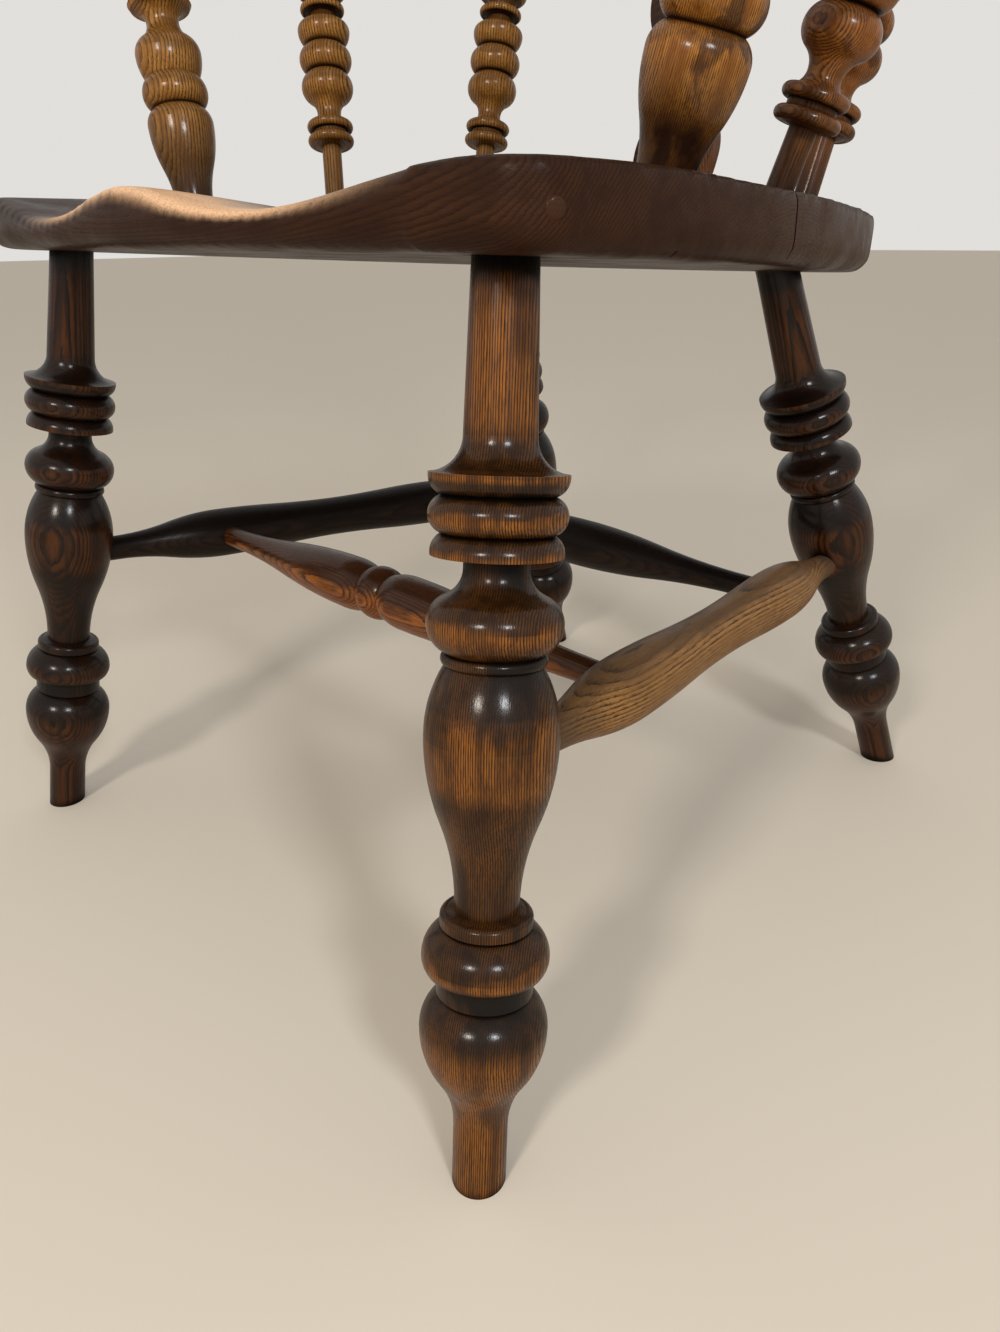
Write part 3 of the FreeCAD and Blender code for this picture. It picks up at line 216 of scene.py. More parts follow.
class ShaderGraph:
    """A material that is wired up node by node."""

    def __init__(self, name: str) -> None:
        """Starts a material with one surface shader.

        Args:
            name: The material's name.
        """
        self.material = bpy.data.materials.new(name)
        self.material.use_nodes = True
        self.tree = self.material.node_tree
        self.surface = self.tree.nodes["Principled BSDF"]

    def add(self, kind: str, settings: dict | None = None, inputs: dict | None = None) -> bpy.types.Node:
        """Adds a node.

        Args:
            kind: The node's type.
            settings: Its settings by name.
            inputs: Its sockets by name or number, each with a value or a socket to link.

        Returns:
            The node.
        """
        node = self.tree.nodes.new(kind)
        for name, value in (settings or {}).items():
            setattr(node, name, value)
        for name, value in (inputs or {}).items():
            if isinstance(value, bpy.types.NodeSocket):
                self.tree.links.new(value, node.inputs[name])
            else:
                node.inputs[name].default_value = value
        return node

    def local(self, place: Matrix) -> bpy.types.NodeSocket:
        """Gives the object's coordinates in another frame.

        Args:
            place: The frame's place.

        Returns:
            The coordinates' socket.
        """
        settings = {"vector_type": "TEXTURE"}
        inputs = {"Vector": self.place(), "Location": place.to_translation(), "Rotation": place.to_euler()}
        return self.add("ShaderNodeMapping", settings, inputs).outputs["Vector"]

    def place(self) -> bpy.types.NodeSocket:
        """Gives the object's coordinates, which are the chair's."""
        return self.add("ShaderNodeTexCoord").outputs["Object"]

    def normal(self) -> bpy.types.NodeSocket:
        """Gives the direction that the surface faces."""
        return self.add("ShaderNodeNewGeometry").outputs["Normal"]

    def bent(self, local: bpy.types.NodeSocket, radius: float) -> bpy.types.NodeSocket:
        """Straightens coordinates that lie along an arch with upright ends.

        Args:
            local: Coordinates from the middle of the arch, with X across it and Z to its top.
            radius: The arch's radius.

        Returns:
            Coordinates whose X axis runs out from the arch and whose Z axis runs along it.
        """
        across = self.math("ABSOLUTE", self.part(local, "X"))
        above = self.math("MAXIMUM", self.part(local, "Z"), 0.0)
        below = self.math("MINIMUM", self.part(local, "Z"), 0.0)
        squares = self.math("ADD", self.math("POWER", across, 2.0), self.math("POWER", above, 2.0))
        outward = self.math("SUBTRACT", self.math("SQRT", squares), radius)
        arc = self.math("MULTIPLY", self.math("ARCTAN2", above, across), radius)
        inputs = {"X": outward, "Y": self.part(local, "Y"), "Z": self.math("ADD", below, arc)}
        return self.add("ShaderNodeCombineXYZ", None, inputs).outputs["Vector"]

    def part(self, vector: bpy.types.NodeSocket, axis: str) -> bpy.types.NodeSocket:
        """Gives one part of a vector.

        Args:
            vector: The vector.
            axis: The part's letter, X, Y or Z.

        Returns:
            The part's socket.
        """
        return self.add("ShaderNodeSeparateXYZ", None, {"Vector": vector}).outputs[axis]

    def stretched(self, vector: bpy.types.NodeSocket, scale: Vector, shift: Vector) -> bpy.types.NodeSocket:
        """Scales and then shifts coordinates.

        Args:
            vector: The coordinates.
            scale: Factors for X, Y and Z.
            shift: What is added to them.

        Returns:
            The changed coordinates' socket.
        """
        inputs = {0: vector, 1: scale, 2: shift}
        node = self.add("ShaderNodeVectorMath", {"operation": "MULTIPLY_ADD"}, inputs)
        return node.outputs["Vector"]

    def noise(self, vector: bpy.types.NodeSocket, scale: float, detail: float = 2.0) -> bpy.types.NodeSocket:
        """Gives soft noise.

        Args:
            vector: The coordinates.
            scale: How many features there are in a metre.
            detail: How many finer layers it has.

        Returns:
            A socket with values around one half.
        """
        inputs = {"Vector": vector, "Scale": scale, "Detail": detail}
        return self.add("ShaderNodeTexNoise", None, inputs).outputs["Fac"]

    def math(self, operation: str, first: object, second: object = 0.0) -> bpy.types.NodeSocket:
        """Joins two values.

        Args:
            operation: What is done with them.
            first: A value or a socket.
            second: A value or a socket.

        Returns:
            The result's socket.
        """
        return self.add("ShaderNodeMath", {"operation": operation}, {0: first, 1: second}).outputs[0]

    def fade(self, value: bpy.types.NodeSocket, low: float, high: float,
             out_low: float = 0.0, out_high: float = 1.0) -> bpy.types.NodeSocket:
        """Turns a range of values smoothly into another range.

        Args:
            value: The value.
            low: Where the range starts.
            high: Where it ends.
            out_low: What the start becomes.
            out_high: What the end becomes.

        Returns:
            The changed value's socket.
        """
        inputs = {"Value": value, "From Min": low, "From Max": high, "To Min": out_low, "To Max": out_high}
        return self.add("ShaderNodeMapRange", {"interpolation_type": "SMOOTHSTEP"}, inputs).outputs["Result"]

    def mix(self, share: object, first: object, second: object) -> bpy.types.NodeSocket:
        """Mixes two colours.

        Args:
            share: How much of the second one is taken.
            first: A colour or a socket.
            second: A colour or a socket.

        Returns:
            The mixed colour's socket.
        """
        inputs = {0: share, 6: first, 7: second}
        return self.add("ShaderNodeMix", {"data_type": "RGBA"}, inputs).outputs[2]

    def ramp(self, value: bpy.types.NodeSocket,
             stops: tuple[tuple[float, Colour], ...]) -> bpy.types.NodeSocket:
        """Turns a value from 0 to 1 into a colour.

        Args:
            value: The value.
            stops: Places and their colours.

        Returns:
            The colour's socket.
        """
        node = self.add("ShaderNodeValToRGB", None, {"Fac": value})
        elements = node.color_ramp.elements
        while len(elements) < len(stops):
            elements.new(1.0)
        for element, (place, colour) in zip(elements, stops):
            element.position = place
            element.color = colour
        return node.outputs["Color"]

    def shelter(self, reach: float, inside: bool = False) -> bpy.types.NodeSocket:
        """Gives how open the surface is: 1 in the open, less in grooves, or on edges if measured inside.

        Args:
            reach: How far away a wall counts.
            inside: Whether to measure inside the solid.

        Returns:
            The openness.
        """
        settings = {"samples": 8, "inside": inside}
        return self.add("ShaderNodeAmbientOcclusion", settings, {"Distance": reach}).outputs["AO"]

    def finish(self, colour: bpy.types.NodeSocket, roughness: bpy.types.NodeSocket,
               relief: bpy.types.NodeSocket, height: float) -> None:
        """Wires the surface shader.

        Args:
            colour: The base colour.
            roughness: How rough the surface is.
            relief: The height of fine relief.
            height: The relief's depth in metres.
        """
        self.tree.links.new(colour, self.surface.inputs["Base Color"])
        self.tree.links.new(roughness, self.surface.inputs["Roughness"])
        for socket, share in (("Normal", 0.6), ("Coat Normal", 0.08)):
            inputs = {"Height": relief, "Distance": height, "Strength": share}
            bump = self.add("ShaderNodeBump", None, inputs)
            self.tree.links.new(bump.outputs["Normal"], self.surface.inputs[socket])


@dataclass(frozen=True)
class Wood:
    """A stained and polished ring-porous wood, with dark wax on its upper faces, and painted shade in its
    grooves that also stands for wax there.
    """

    name: str
    pore: Colour
    body: Colour
    glow: Colour
    # The fourth colour is both the dark wax and the painted shade in the grooves and bands.
    grime_and_shade: Colour
    ring_spacing: float = 0.0016
    ring_wobble: float = 4.5
    ring_contrast: float = 0.85
    heart_distance: float = 0.11
    heart_sway: float = 0.004
    figure_step: float = 0.37
    line: float = 0.35
    stretch: float = 0.05
    dash: float = 0.1
    vessels: float = 1500.0
    breaks: float = 300.0
    break_stretch: float = 0.2
    streaks: float = 150.0
    streak_stretch: float = 0.06
    relief: float = 0.0002
    roughness: tuple[float, float] = (0.32, 0.46)
    specular: float = 0.05
    coat: float = 0.32
    coat_roughness: float = 0.17
    settled: float = 0.8
    settled_range: tuple[float, float] = (0.0, 0.42)
    blotch: float = 45.0
    blotch_stretch: float = 0.5
    mottle: float = 0.25
    mottle_range: tuple[float, float] = (0.48, 0.64)
    wear: float = 0.75
    edge_reach: float = 0.004
    groove_reach: float = 0.012
    bands: tuple[tuple[float, float], ...] = ()

    def figure(self, graph: ShaderGraph, local: bpy.types.NodeSocket, number: int) -> tuple:
        """Draws growth rings, pores and fibres.

        Args:
            graph: The material.
            local: Coordinates whose Z axis runs along the grain and whose X axis to the tree's heart.
            number: The piece's number, which gives it a figure of its own.

        Returns:
            The colour, and the height of the grain's fine relief.
        """
        sway = self.heart_sway * math.sin(number)
        heart = Vector((self.heart_distance, sway, self.figure_step * number))
        vector = graph.stretched(local, Vector((1.0, 1.0, self.stretch)), heart)
        settings = {"wave_type": "RINGS", "rings_direction": "Z", "wave_profile": "SAW"}
        inputs = {"Vector": vector, "Scale": RING_PERIOD / self.ring_spacing, "Distortion": self.ring_wobble,
                  "Detail": 4.0, "Detail Scale": 0.7, "Detail Roughness": 0.6}
        ring = graph.add("ShaderNodeTexWave", settings, inputs).outputs["Fac"]
        colour = graph.ramp(ring, ((0.0, self.body), (0.15, self.body), (0.6, self.glow), (1.0, self.glow)))
        short = Vector((1.0, 1.0, self.break_stretch))
        breaks = graph.noise(graph.stretched(local, short, heart), self.breaks)
        line = graph.math("MULTIPLY", graph.fade(ring, 0.25, 0.03, 0.0, self.line),
                          graph.fade(breaks, 0.36, 0.54, 0.25, 1.0))
        colour = graph.mix(line, colour, self.pore)
        vessel = graph.noise(graph.stretched(local, Vector((1.0, 1.0, self.dash)), heart), self.vessels)
        early = graph.fade(ring, 0.7, 0.05, 0.3, 1.0)
        dashes = graph.math("MULTIPLY", graph.fade(vessel, 0.54, 0.4), early)
        colour = graph.mix(graph.math("MULTIPLY", dashes, self.ring_contrast), colour, self.pore)
        long = Vector((1.0, 1.0, self.streak_stretch))
        streak = graph.noise(graph.stretched(local, long, heart), self.streaks)
        colour = graph.mix(graph.fade(streak, 0.42, 0.66, 0.0, 0.75), colour, self.body)
        return colour, graph.math("MULTIPLY", graph.math("MAXIMUM", dashes, line), -1.0)

    def darkened(self, graph: ShaderGraph, colour: bpy.types.NodeSocket, patch: bpy.types.NodeSocket,
                 tone_and_shade: bpy.types.NodeSocket) -> bpy.types.NodeSocket:
        """Lays dark wax on the faces that look up, paints shade into the grooves and along the bands, and
        wears the sharp edges bright.

        Args:
            graph: The material.
            colour: The bare wood's colour.
            patch: Blotches that break the wax up.
            tone_and_shade: How dark it is painted there: shade in its grooves, which also stands for wax, and
                along its bands.

        Returns:
            The colour.
        """
        upward = graph.math("ADD", graph.part(graph.normal(), "Z"), graph.fade(patch, 0.3, 0.7, -0.18, 0.18))
        settled = graph.fade(upward, *self.settled_range, 0.0, self.settled)
        # The painted shade of the grooves and bands is laid on with the wax, in the same dark colour.
        dark = graph.math("MAXIMUM", settled, tone_and_shade)
        dark = graph.math("MAXIMUM", dark, graph.fade(patch, *self.mottle_range, 0.0, self.mottle))
        colour = graph.mix(dark, colour, self.grime_and_shade)
        edge = graph.fade(graph.shelter(self.edge_reach, inside=True), 0.58, 0.25, 0.0, self.wear)
        return graph.mix(graph.math("MULTIPLY", edge, graph.fade(patch, 0.35, 0.5)), colour, self.glow)

    def material(self, name: str, axis: Axis, heart: Vector, number: int,
                 bend: float = 0.0) -> bpy.types.Material:
        """Makes the finish of one piece.

        Args:
            name: The piece's name.
            axis: The line that its grain follows.
            heart: The direction in which the tree's heart lay.
            number: Its number.
            bend: The radius of the arch that it is bent to, or 0 for a straight piece.

        Returns:
            The material.
        """
        graph = ShaderGraph(f"{self.name}_{name}")
        local = graph.local(axis.place(heart))
        if bend:
            local = graph.bent(local, bend)
        colour, relief = self.figure(graph, local, number)
        long = Vector((1.0, 1.0, self.blotch_stretch))
        blotches = graph.stretched(local, long, Vector((number, 0.0, 0.0)))
        patch = graph.noise(blotches, self.blotch, detail=5.0)
        # Painted shade in the grooves, from how closed in the surface is; it also stands for dark wax there.
        groove_wax_and_shade = graph.fade(graph.shelter(self.groove_reach), 0.9, 0.5)
        tone_and_shade = groove_wax_and_shade
        if self.bands:
            reach = self.bands[-1][0]
            share = graph.math("DIVIDE", graph.part(local, "Z"), reach)
            stops = tuple((place / reach, (dark, dark, dark, 1.0)) for place, dark in self.bands)
            band = graph.math("MULTIPLY", graph.ramp(share, stops), graph.fade(patch, 0.3, 0.6, 0.8, 1.1))
            tone_and_shade = graph.math("MAXIMUM", groove_wax_and_shade, band)
        colour = self.darkened(graph, colour, patch, tone_and_shade)
        rough = graph.fade(patch, 0.35, 0.65, *self.roughness)
        graph.surface.inputs["Specular IOR Level"].default_value = self.specular
        # The coat is left off the grooves, so that their painted shade shows no highlight.
        shine = graph.math("MULTIPLY", graph.math("SUBTRACT", 1.0, groove_wax_and_shade), self.coat)
        graph.tree.links.new(shine, graph.surface.inputs["Coat Weight"])
        graph.surface.inputs["Coat Roughness"].default_value = self.coat_roughness
        graph.finish(colour, rough, relief, self.relief)
        return graph.material


@dataclass(frozen=True)
class SeatWood(Wood):
    """The seat's dark wood, greyed on its left edge and rubbed pale on its front rim."""

    greyed: Colour = stain(72, 50, 32)
    greyed_from: tuple[float, float] = (-0.17, -0.03)
    rubbed: Colour = stain(234, 188, 146)
    rubbed_from: tuple[float, float] = (-0.19, -0.25)
    rubbed_middle: float = 0.03
    rubbed_reach: tuple[float, float] = (0.17, 0.06)
    speckles: float = 1100.0
    pits: float = 700.0

    def darkened(self, graph: ShaderGraph, colour: bpy.types.NodeSocket, patch: bpy.types.NodeSocket,
                 tone_and_shade: bpy.types.NodeSocket) -> bpy.types.NodeSocket:
        """Adds the greyed and the rubbed places to the dark wax and the painted shade.

        Args:
            graph: The material.
            colour: The bare wood's colour.
            patch: Blotches that break the places up.
            tone_and_shade: How dark it is painted there: shade in its grooves, which also stands for wax, and
                along its bands.

        Returns:
            The colour.
        """
        colour = super().darkened(graph, colour, patch, tone_and_shade)
        place, normal = graph.place(), graph.normal()
        side = graph.fade(graph.part(normal, "X"), 0.45, 0.9)
        behind = graph.fade(graph.part(place, "Y"), *self.greyed_from, 0.0, 0.8)
        rough = graph.fade(graph.noise(place, self.pits, detail=5.0), 0.36, 0.64, 0.1, 1.0)
        uneven = graph.math("MULTIPLY", graph.fade(patch, 0.3, 0.6, 0.4, 1.0), rough)
        grey = graph.math("MULTIPLY", graph.math("MULTIPLY", side, behind), uneven)
        colour = graph.mix(grey, colour, self.greyed)
        front = graph.fade(graph.part(place, "Y"), *self.rubbed_from)
        aside = graph.math("ABSOLUTE", graph.math("SUBTRACT", graph.part(place, "X"), self.rubbed_middle))
        speckle = graph.fade(graph.noise(place, self.speckles, detail=5.0), 0.36, 0.5, 0.6, 1.0)
        rub = graph.math("MULTIPLY", front, graph.fade(aside, *self.rubbed_reach))
        rub = graph.math("MULTIPLY", rub, graph.fade(graph.part(normal, "Z"), 0.1, 0.9))
        speckle = graph.math("MULTIPLY", graph.fade(patch, 0.3, 0.55, 0.7, 1.0), speckle)
        rub = graph.math("MULTIPLY", rub, speckle)
        return graph.mix(rub, colour, self.rubbed)


# Each band is a distance along a turning in metres, and how dark the wood is there. On the legs they paint
# shade under the seat, under the rings and in the waist; the posts and spindles get darker towards the seat,
# and the stretchers towards their ends.
LEG_BANDS_WITH_PAINTED_SHADE = ((0.0, 1.0), (0.006, 1.0), (0.012, 0.4), (0.030, 0.1), (0.058, 0.1), (0.067, 0.65),
             (0.0782, 0.85), (0.0788, 0.05), (0.0802, 0.05), (0.0815, 0.75), (0.088, 0.95), (0.093, 0.5),
             (0.097, 0.1), (0.102, 0.9), (0.108, 0.75), (0.1097, 0.1), (0.1108, 0.1), (0.1115, 1.0),
             (0.127, 0.8), (0.139, 0.1), (0.150, 0.9), (0.172, 0.85), (0.178, 0.25), (0.203, 0.3),
             (0.210, 0.75), (0.262, 0.75), (0.276, 0.8), (0.289, 0.15), (0.292, 1.0), (0.318, 0.8),
             (0.326, 0.3), (0.430, 0.4))
POST_BANDS = ((0.0, 1.0), (0.03, 0.95), (0.042, 0.6), (0.058, 0.2), (0.3, 0.1))
STRETCHER_BANDS = ((0.0, 1.0), (0.03, 0.9), (0.07, 0.1), (0.33, 0.1), (0.37, 0.9), (0.41, 1.0))
SPINDLE_BANDS = ((0.0, 1.0), (0.02, 0.85), (0.05, 0.5), (0.08, 0.15), (0.3, 0.15))


class Woods(Enum):
    """The finishes of the chair's pieces."""

    LEG = Wood("leg_wood", stain(14, 7, 3), stain(60, 32, 9), stain(148, 90, 32), stain(12, 7, 4),
               ring_spacing=0.00105, line=0.95, bands=LEG_BANDS_WITH_PAINTED_SHADE)
    # The three far legs have the near leg's wood made darker, as painted shade.
    DIM_LEG = Wood("leg_wood_in_painted_shade", stain(20, 11, 7), stain(33, 17, 8), stain(78, 41, 12), stain(12, 7, 5),
                   line=0.5, bands=LEG_BANDS_WITH_PAINTED_SHADE)
    POST = Wood("post_wood", stain(48, 26, 10), stain(118, 70, 26), stain(182, 122, 50), stain(34, 17, 9),
                ring_spacing=0.0009, line=0.2, settled=0.5, blotch=80.0, mottle=0.8,
                mottle_range=(0.47, 0.6), bands=POST_BANDS)
    HONEY = Wood("honey_wood", stain(50, 28, 11), stain(132, 86, 36), stain(178, 126, 62), stain(44, 25, 12),
                 ring_spacing=0.0021, line=0.85, settled=0.5, bands=SPINDLE_BANDS)
    SPINDLE = Wood("spindle_wood", stain(48, 25, 11), stain(108, 62, 25), stain(160, 100, 44),
                   stain(30, 16, 10), ring_spacing=0.0012, settled=0.5, blotch=70.0, mottle=0.7,
                   mottle_range=(0.5, 0.62), bands=SPINDLE_BANDS)
    CROSS = Wood("cross_wood", stain(34, 17, 8), stain(96, 50, 20), stain(146, 86, 34), stain(26, 15, 10),
                 ring_spacing=0.0013, line=0.6)
    TAN = Wood("tan_wood", stain(34, 21, 12), stain(122, 86, 48), stain(152, 110, 64), stain(72, 56, 43),
               ring_spacing=0.0021, line=0.95, coat=0.05, coat_roughness=0.35, settled=0.65,
               settled_range=(0.5, 0.95), bands=STRETCHER_BANDS)
    # The far side stretcher and the rear stretcher are made near black as painted shade.
    DARK = Wood("dark_wood", stain(16, 11, 8), stain(25, 17, 13), stain(37, 25, 18), stain(14, 10, 8),
                coat=0.1, coat_roughness=0.3)
    SEAT = SeatWood("seat_wood", stain(32, 18, 13), stain(43, 24, 14), stain(56, 33, 19), stain(26, 15, 9),
                    ring_contrast=0.4, line=0.15, coat=0.04, coat_roughness=0.26, settled=0.3, wear=0.3)
    BOW = Wood("bow_wood", stain(36, 20, 11), stain(84, 48, 22), stain(122, 74, 34), stain(30, 17, 11))
    PEG = Wood("peg_wood", stain(31, 19, 12), stain(46, 28, 18), stain(58, 35, 21), stain(24, 14, 9),
               coat=0.12)


@dataclass
class TurnedPieces:
    """Pieces that are turned on a lathe, dressed with grain that runs along each of them."""

    finishes: dict[str, Woods] = field(default_factory=lambda: {
        "front_leg_left": Woods.LEG, "front_leg_right": Woods.DIM_LEG, "back_leg_left": Woods.DIM_LEG,
        "back_leg_right": Woods.DIM_LEG, "side_stretcher_left": Woods.TAN, "side_stretcher_right": Woods.DARK,
        "front_cross_stretcher": Woods.CROSS, "rear_cross_stretcher": Woods.DARK,
        "front_arm_post_left": Woods.POST, "front_arm_post_right": Woods.HONEY,
        "side_spindle_left": Woods.SPINDLE, "side_spindle_right": Woods.HONEY,
        "rear_spindle_left": Woods.SPINDLE, "rear_spindle_right": Woods.HONEY,
    })
    leg_tenons: dict[str, float] = field(default_factory=lambda: {"front": 0.024, "back": 0.014})
    facing: Vector = field(default_factory=lambda: Vector((0.716, -0.698, 0.0)))
    sideways: Vector = field(default_factory=lambda: Vector((0.698, 0.716, 0.0)))
    figured: tuple[str, ...] = ("front_leg_right", "back_leg_left")
    edge_figured: tuple[str, ...] = ("front_arm_post_right", "side_spindle_left")
    upward: tuple[str, ...] = ("side_stretcher_left",)

    def nodes(self) -> dict[str, Woods]:
        """Gives each turned node and its finish."""
        sticks = {node: Woods.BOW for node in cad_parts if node.startswith("back_stick")}
        return self.finishes | sticks

    def grain(self, node: str) -> Axis:
        """Gives the line that a turning's grain follows, on a leg from the seat down.

        Args:
            node: The turning's name.

        Returns:
            The line.
        """
        axis = Axis.of_node(node)
        end, _, rest = node.partition("_")
        return axis.downward(self.leg_tenons[end]) if rest.startswith("leg") else axis

    def heart(self, node: str) -> Vector:
        """Gives the direction in which the tree's heart lay, which sets where a turning shows its rings.

        Args:
            node: The turning's name.

        Returns:
            The direction.
        """
        if node in self.upward:
            return Vector((0.0, 0.0, 1.0))
        if node in self.figured:
            return self.facing
        if node in self.edge_figured:
            return self.facing * 0.6 - self.sideways * 0.8
        return self.sideways

    def dress(self) -> None:
        """Gives every turned node its own material."""
        for number, (node, wood) in enumerate(self.nodes().items(), start=1):
            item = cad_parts[node]
            item.data.materials.clear()
            item.data.materials.append(wood.value.material(node, self.grain(node), self.heart(node), number))
            LOG.info("dressed %s", node)


@dataclass
class LegPegs:
    """The two round pegs that lock the front legs, with domed ends a little proud of the seat's edge."""

    radius: float = 0.0039
    length: float = 0.02
    proud: float = 0.0003
    dome: float = 0.0014
    smooth_angle: float = 50.0
    number: int = 60

    @staticmethod
    def outward(side: str) -> Axis:
        """Gives a peg's middle line from its inner end to the seat's edge.

        Args:
            side: The peg's side of the chair.

        Returns:
            The line.
        """
        points = node_points("leg_pegs")
        axis = Axis.of_points(points[(points[:, 0] > 0) == (side == "left")])
        return axis if abs(axis.end.x) > abs(axis.start.x) else Axis(axis.end, axis.start)

    def build(self) -> bpy.types.Object:
        """Models both pegs as one piece.

        Returns:
            The pegs.
        """
        made = []
        for side in SIDES:
            axis = self.outward(side)
            centre = axis.end + axis.direction * (self.proud - self.length / 2)
            turn = axis.direction.to_track_quat("Z", "Y").to_euler()
            bpy.ops.object.select_all(action="DESELECT")
            bpy.ops.mesh.primitive_cylinder_add(vertices=48, radius=self.radius, depth=self.length,
                                                location=centre, rotation=turn)
            bpy.ops.object.transform_apply(location=True, rotation=True, scale=True)
            peg = bpy.context.active_object
            apply_modifier(peg, "BEVEL", width=self.dome, segments=4, limit_method="ANGLE")
            made.append(peg)
        select_only(*made)
        bpy.ops.object.join()
        pegs = bpy.context.active_object
        pegs.name = "domed_leg_pegs"
        bpy.ops.object.shade_smooth_by_angle(angle=math.radians(self.smooth_angle))
        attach(pegs, ROOT)
        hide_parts("leg_pegs")
        return pegs

    def dress(self, pegs: bpy.types.Object) -> None:
        """Stains the pegs like the seat's edge.

        Args:
            pegs: The pegs.
        """
        pegs.data.materials.clear()
        heart = Vector((0.0, 0.0, 1.0))
        finish = Woods.PEG.value.material("pegs", self.outward("left"), heart, self.number)
        pegs.data.materials.append(finish)
        LOG.info("built and dressed the leg pegs")


@dataclass(frozen=True)
class Split:
    """A wedge of wood that is lost from the seat's edge."""

    place: tuple[float, float, float]
    size: tuple[float, float, float]
    lean: float
    taper: float = 0.15
    shrink: float = 0.7
    ragged: float = 0.06
    seed: int = 4

    def build(self) -> bpy.types.Object:
        """Models the lost wedge, which narrows inward.

        Returns:
            The wedge.
        """
        bpy.ops.object.select_all(action="DESELECT")
        bpy.ops.mesh.primitive_cube_add(size=1.0)
        wedge = bpy.context.active_object
        bpy.ops.object.mode_set(mode="EDIT")
        bpy.ops.mesh.select_all(action="DESELECT")
        bpy.ops.object.mode_set(mode="OBJECT")
        for vertex in wedge.data.vertices:
            vertex.select = vertex.co.x < 0
        bpy.ops.object.mode_set(mode="EDIT")
        bpy.ops.transform.resize(value=(1.0, self.taper, self.shrink))
        bpy.ops.mesh.select_all(action="SELECT")
        bpy.ops.mesh.subdivide(number_cuts=2)
        bpy.ops.transform.vertex_random(offset=self.ragged, seed=self.seed)
        bpy.ops.transform.resize(value=self.size)
        bpy.ops.object.mode_set(mode="OBJECT")
        wedge.rotation_euler = (self.lean, 0.0, 0.0)
        wedge.location = self.place
        bpy.ops.object.transform_apply(location=True, rotation=True, scale=True)
        return wedge


@dataclass
class SaddleSeat:
    """The carved plank seat, with rounded, worn edges."""

    voxel: float = 0.0027
    skew: tuple[float, float, float] = (0.5, 0.6, 0.4)
    rounding: int = 11
    rim_rounding: int = 34
    rim_from: float = -0.205
    rim_end: float = 0.19
    crack: Split = Split(place=(0.2365, -0.0785, 0.409), size=(0.012, 0.0022, 0.034), lean=0.05)
    chip: Split = Split(place=(0.2435, -0.1677, 0.3975), size=(0.012, 0.0028, 0.013), lean=-0.1)
    smooth_angle: float = 40.0
    plug_margin: float = 0.001
    plug_depth: float = 0.012
    plug_radius: dict[str, float] = field(default_factory=lambda: {
        "leg": 0.0129, "post": 0.0122, "spindle": 0.007, "peg": 0.0036,
    })

    @staticmethod
    def turn(seat: bpy.types.Object, turn: Matrix) -> None:
        """Turns the seat's mesh, so that its edges lie askew in the grid that it is drawn anew on.

        Args:
            seat: The seat.
            turn: The turn.
        """
        select_only(seat)
        seat.matrix_world = turn
        bpy.ops.object.transform_apply(location=True, rotation=True, scale=True)

    def plug(self, axis: Axis, radius: float, top: bool, past: float = 0.002) -> bpy.types.Object:
        """Fills a socket that a turned piece stands in, so that rounding doesn't open it.

        Args:
            axis: The turned piece's middle line.
            radius: Its radius there.
            top: Whether its upper end is in the seat.
            past: How far the plug passes that end.

        Returns:
            The plug.
        """
        end, inward = (axis.end, -axis.direction) if top else (axis.start, axis.direction)
        centre = end + inward * (self.plug_depth / 2 - past)
        turn = axis.direction.to_track_quat("Z", "Y").to_euler()
        bpy.ops.object.select_all(action="DESELECT")
        bpy.ops.mesh.primitive_cylinder_add(vertices=32, radius=radius + self.plug_margin,
                                            depth=self.plug_depth, location=centre, rotation=turn)
        bpy.ops.object.transform_apply(location=True, rotation=True, scale=True)
        return bpy.context.active_object

    def build(self) -> bpy.types.Object:
        """Models the seat from a copy of its solid.

        Returns:
            The seat.
        """
        seat = copy_of_node("seat", "saddle_seat")
        plugs = []
        for side in SIDES:
            for end in ("front", "back"):
                plugs.append(self.plug(Axis.of_node(f"{end}_leg_{side}"), self.plug_radius["leg"], True))
            plugs.append(self.plug(Axis.of_node(f"front_arm_post_{side}"), self.plug_radius["post"], False))
            for kind in ("side", "rear"):
                axis = Axis.of_node(f"{kind}_spindle_{side}")
                plugs.append(self.plug(axis, self.plug_radius["spindle"], False))
            plugs.append(self.plug(LegPegs.outward(side), self.plug_radius["peg"], True, -self.plug_margin))
        select_only(*plugs, seat)
        bpy.ops.object.join()
        skew = Euler(self.skew).to_matrix().to_4x4()
        self.turn(seat, skew)
        apply_modifier(seat, "REMESH", mode="VOXEL", voxel_size=self.voxel)
        apply_modifier(seat, "SMOOTH", factor=0.5, iterations=self.rounding)
        self.turn(seat, skew.inverted())
        rim = seat.vertex_groups.new(name="front_rim")
        worn = [vertex.index for vertex in seat.data.vertices
                if vertex.co.y < self.rim_from and vertex.co.x < self.rim_end]
        rim.add(worn, 1.0, "REPLACE")
        apply_modifier(seat, "SMOOTH", factor=0.5, iterations=self.rim_rounding, vertex_group=rim.name)
        for damage in (self.crack, self.chip):
            waste = damage.build()
            apply_modifier(seat, "BOOLEAN", operation="DIFFERENCE", object=waste, solver="FAST")
            bpy.data.objects.remove(waste)
        select_only(seat)
        bpy.ops.object.shade_smooth_by_angle(angle=math.radians(self.smooth_angle))
        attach(seat, ROOT)
        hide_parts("seat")
        return seat

    def dress(self, seat: bpy.types.Object) -> None:
        """Stains the seat, with grain that runs from side to side.

        Args:
            seat: The seat.
        """
        low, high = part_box("seat")
        middle = (low + high) / 2
        axis = Axis(Vector((low.x, middle.y, middle.z)), Vector((high.x, middle.y, middle.z)))
        seat.data.materials.clear()
        seat.data.materials.append(Woods.SEAT.value.material("saddle", axis, Vector((0.0, 0.3, 1.0)), 0))
        LOG.info("built and dressed the seat")


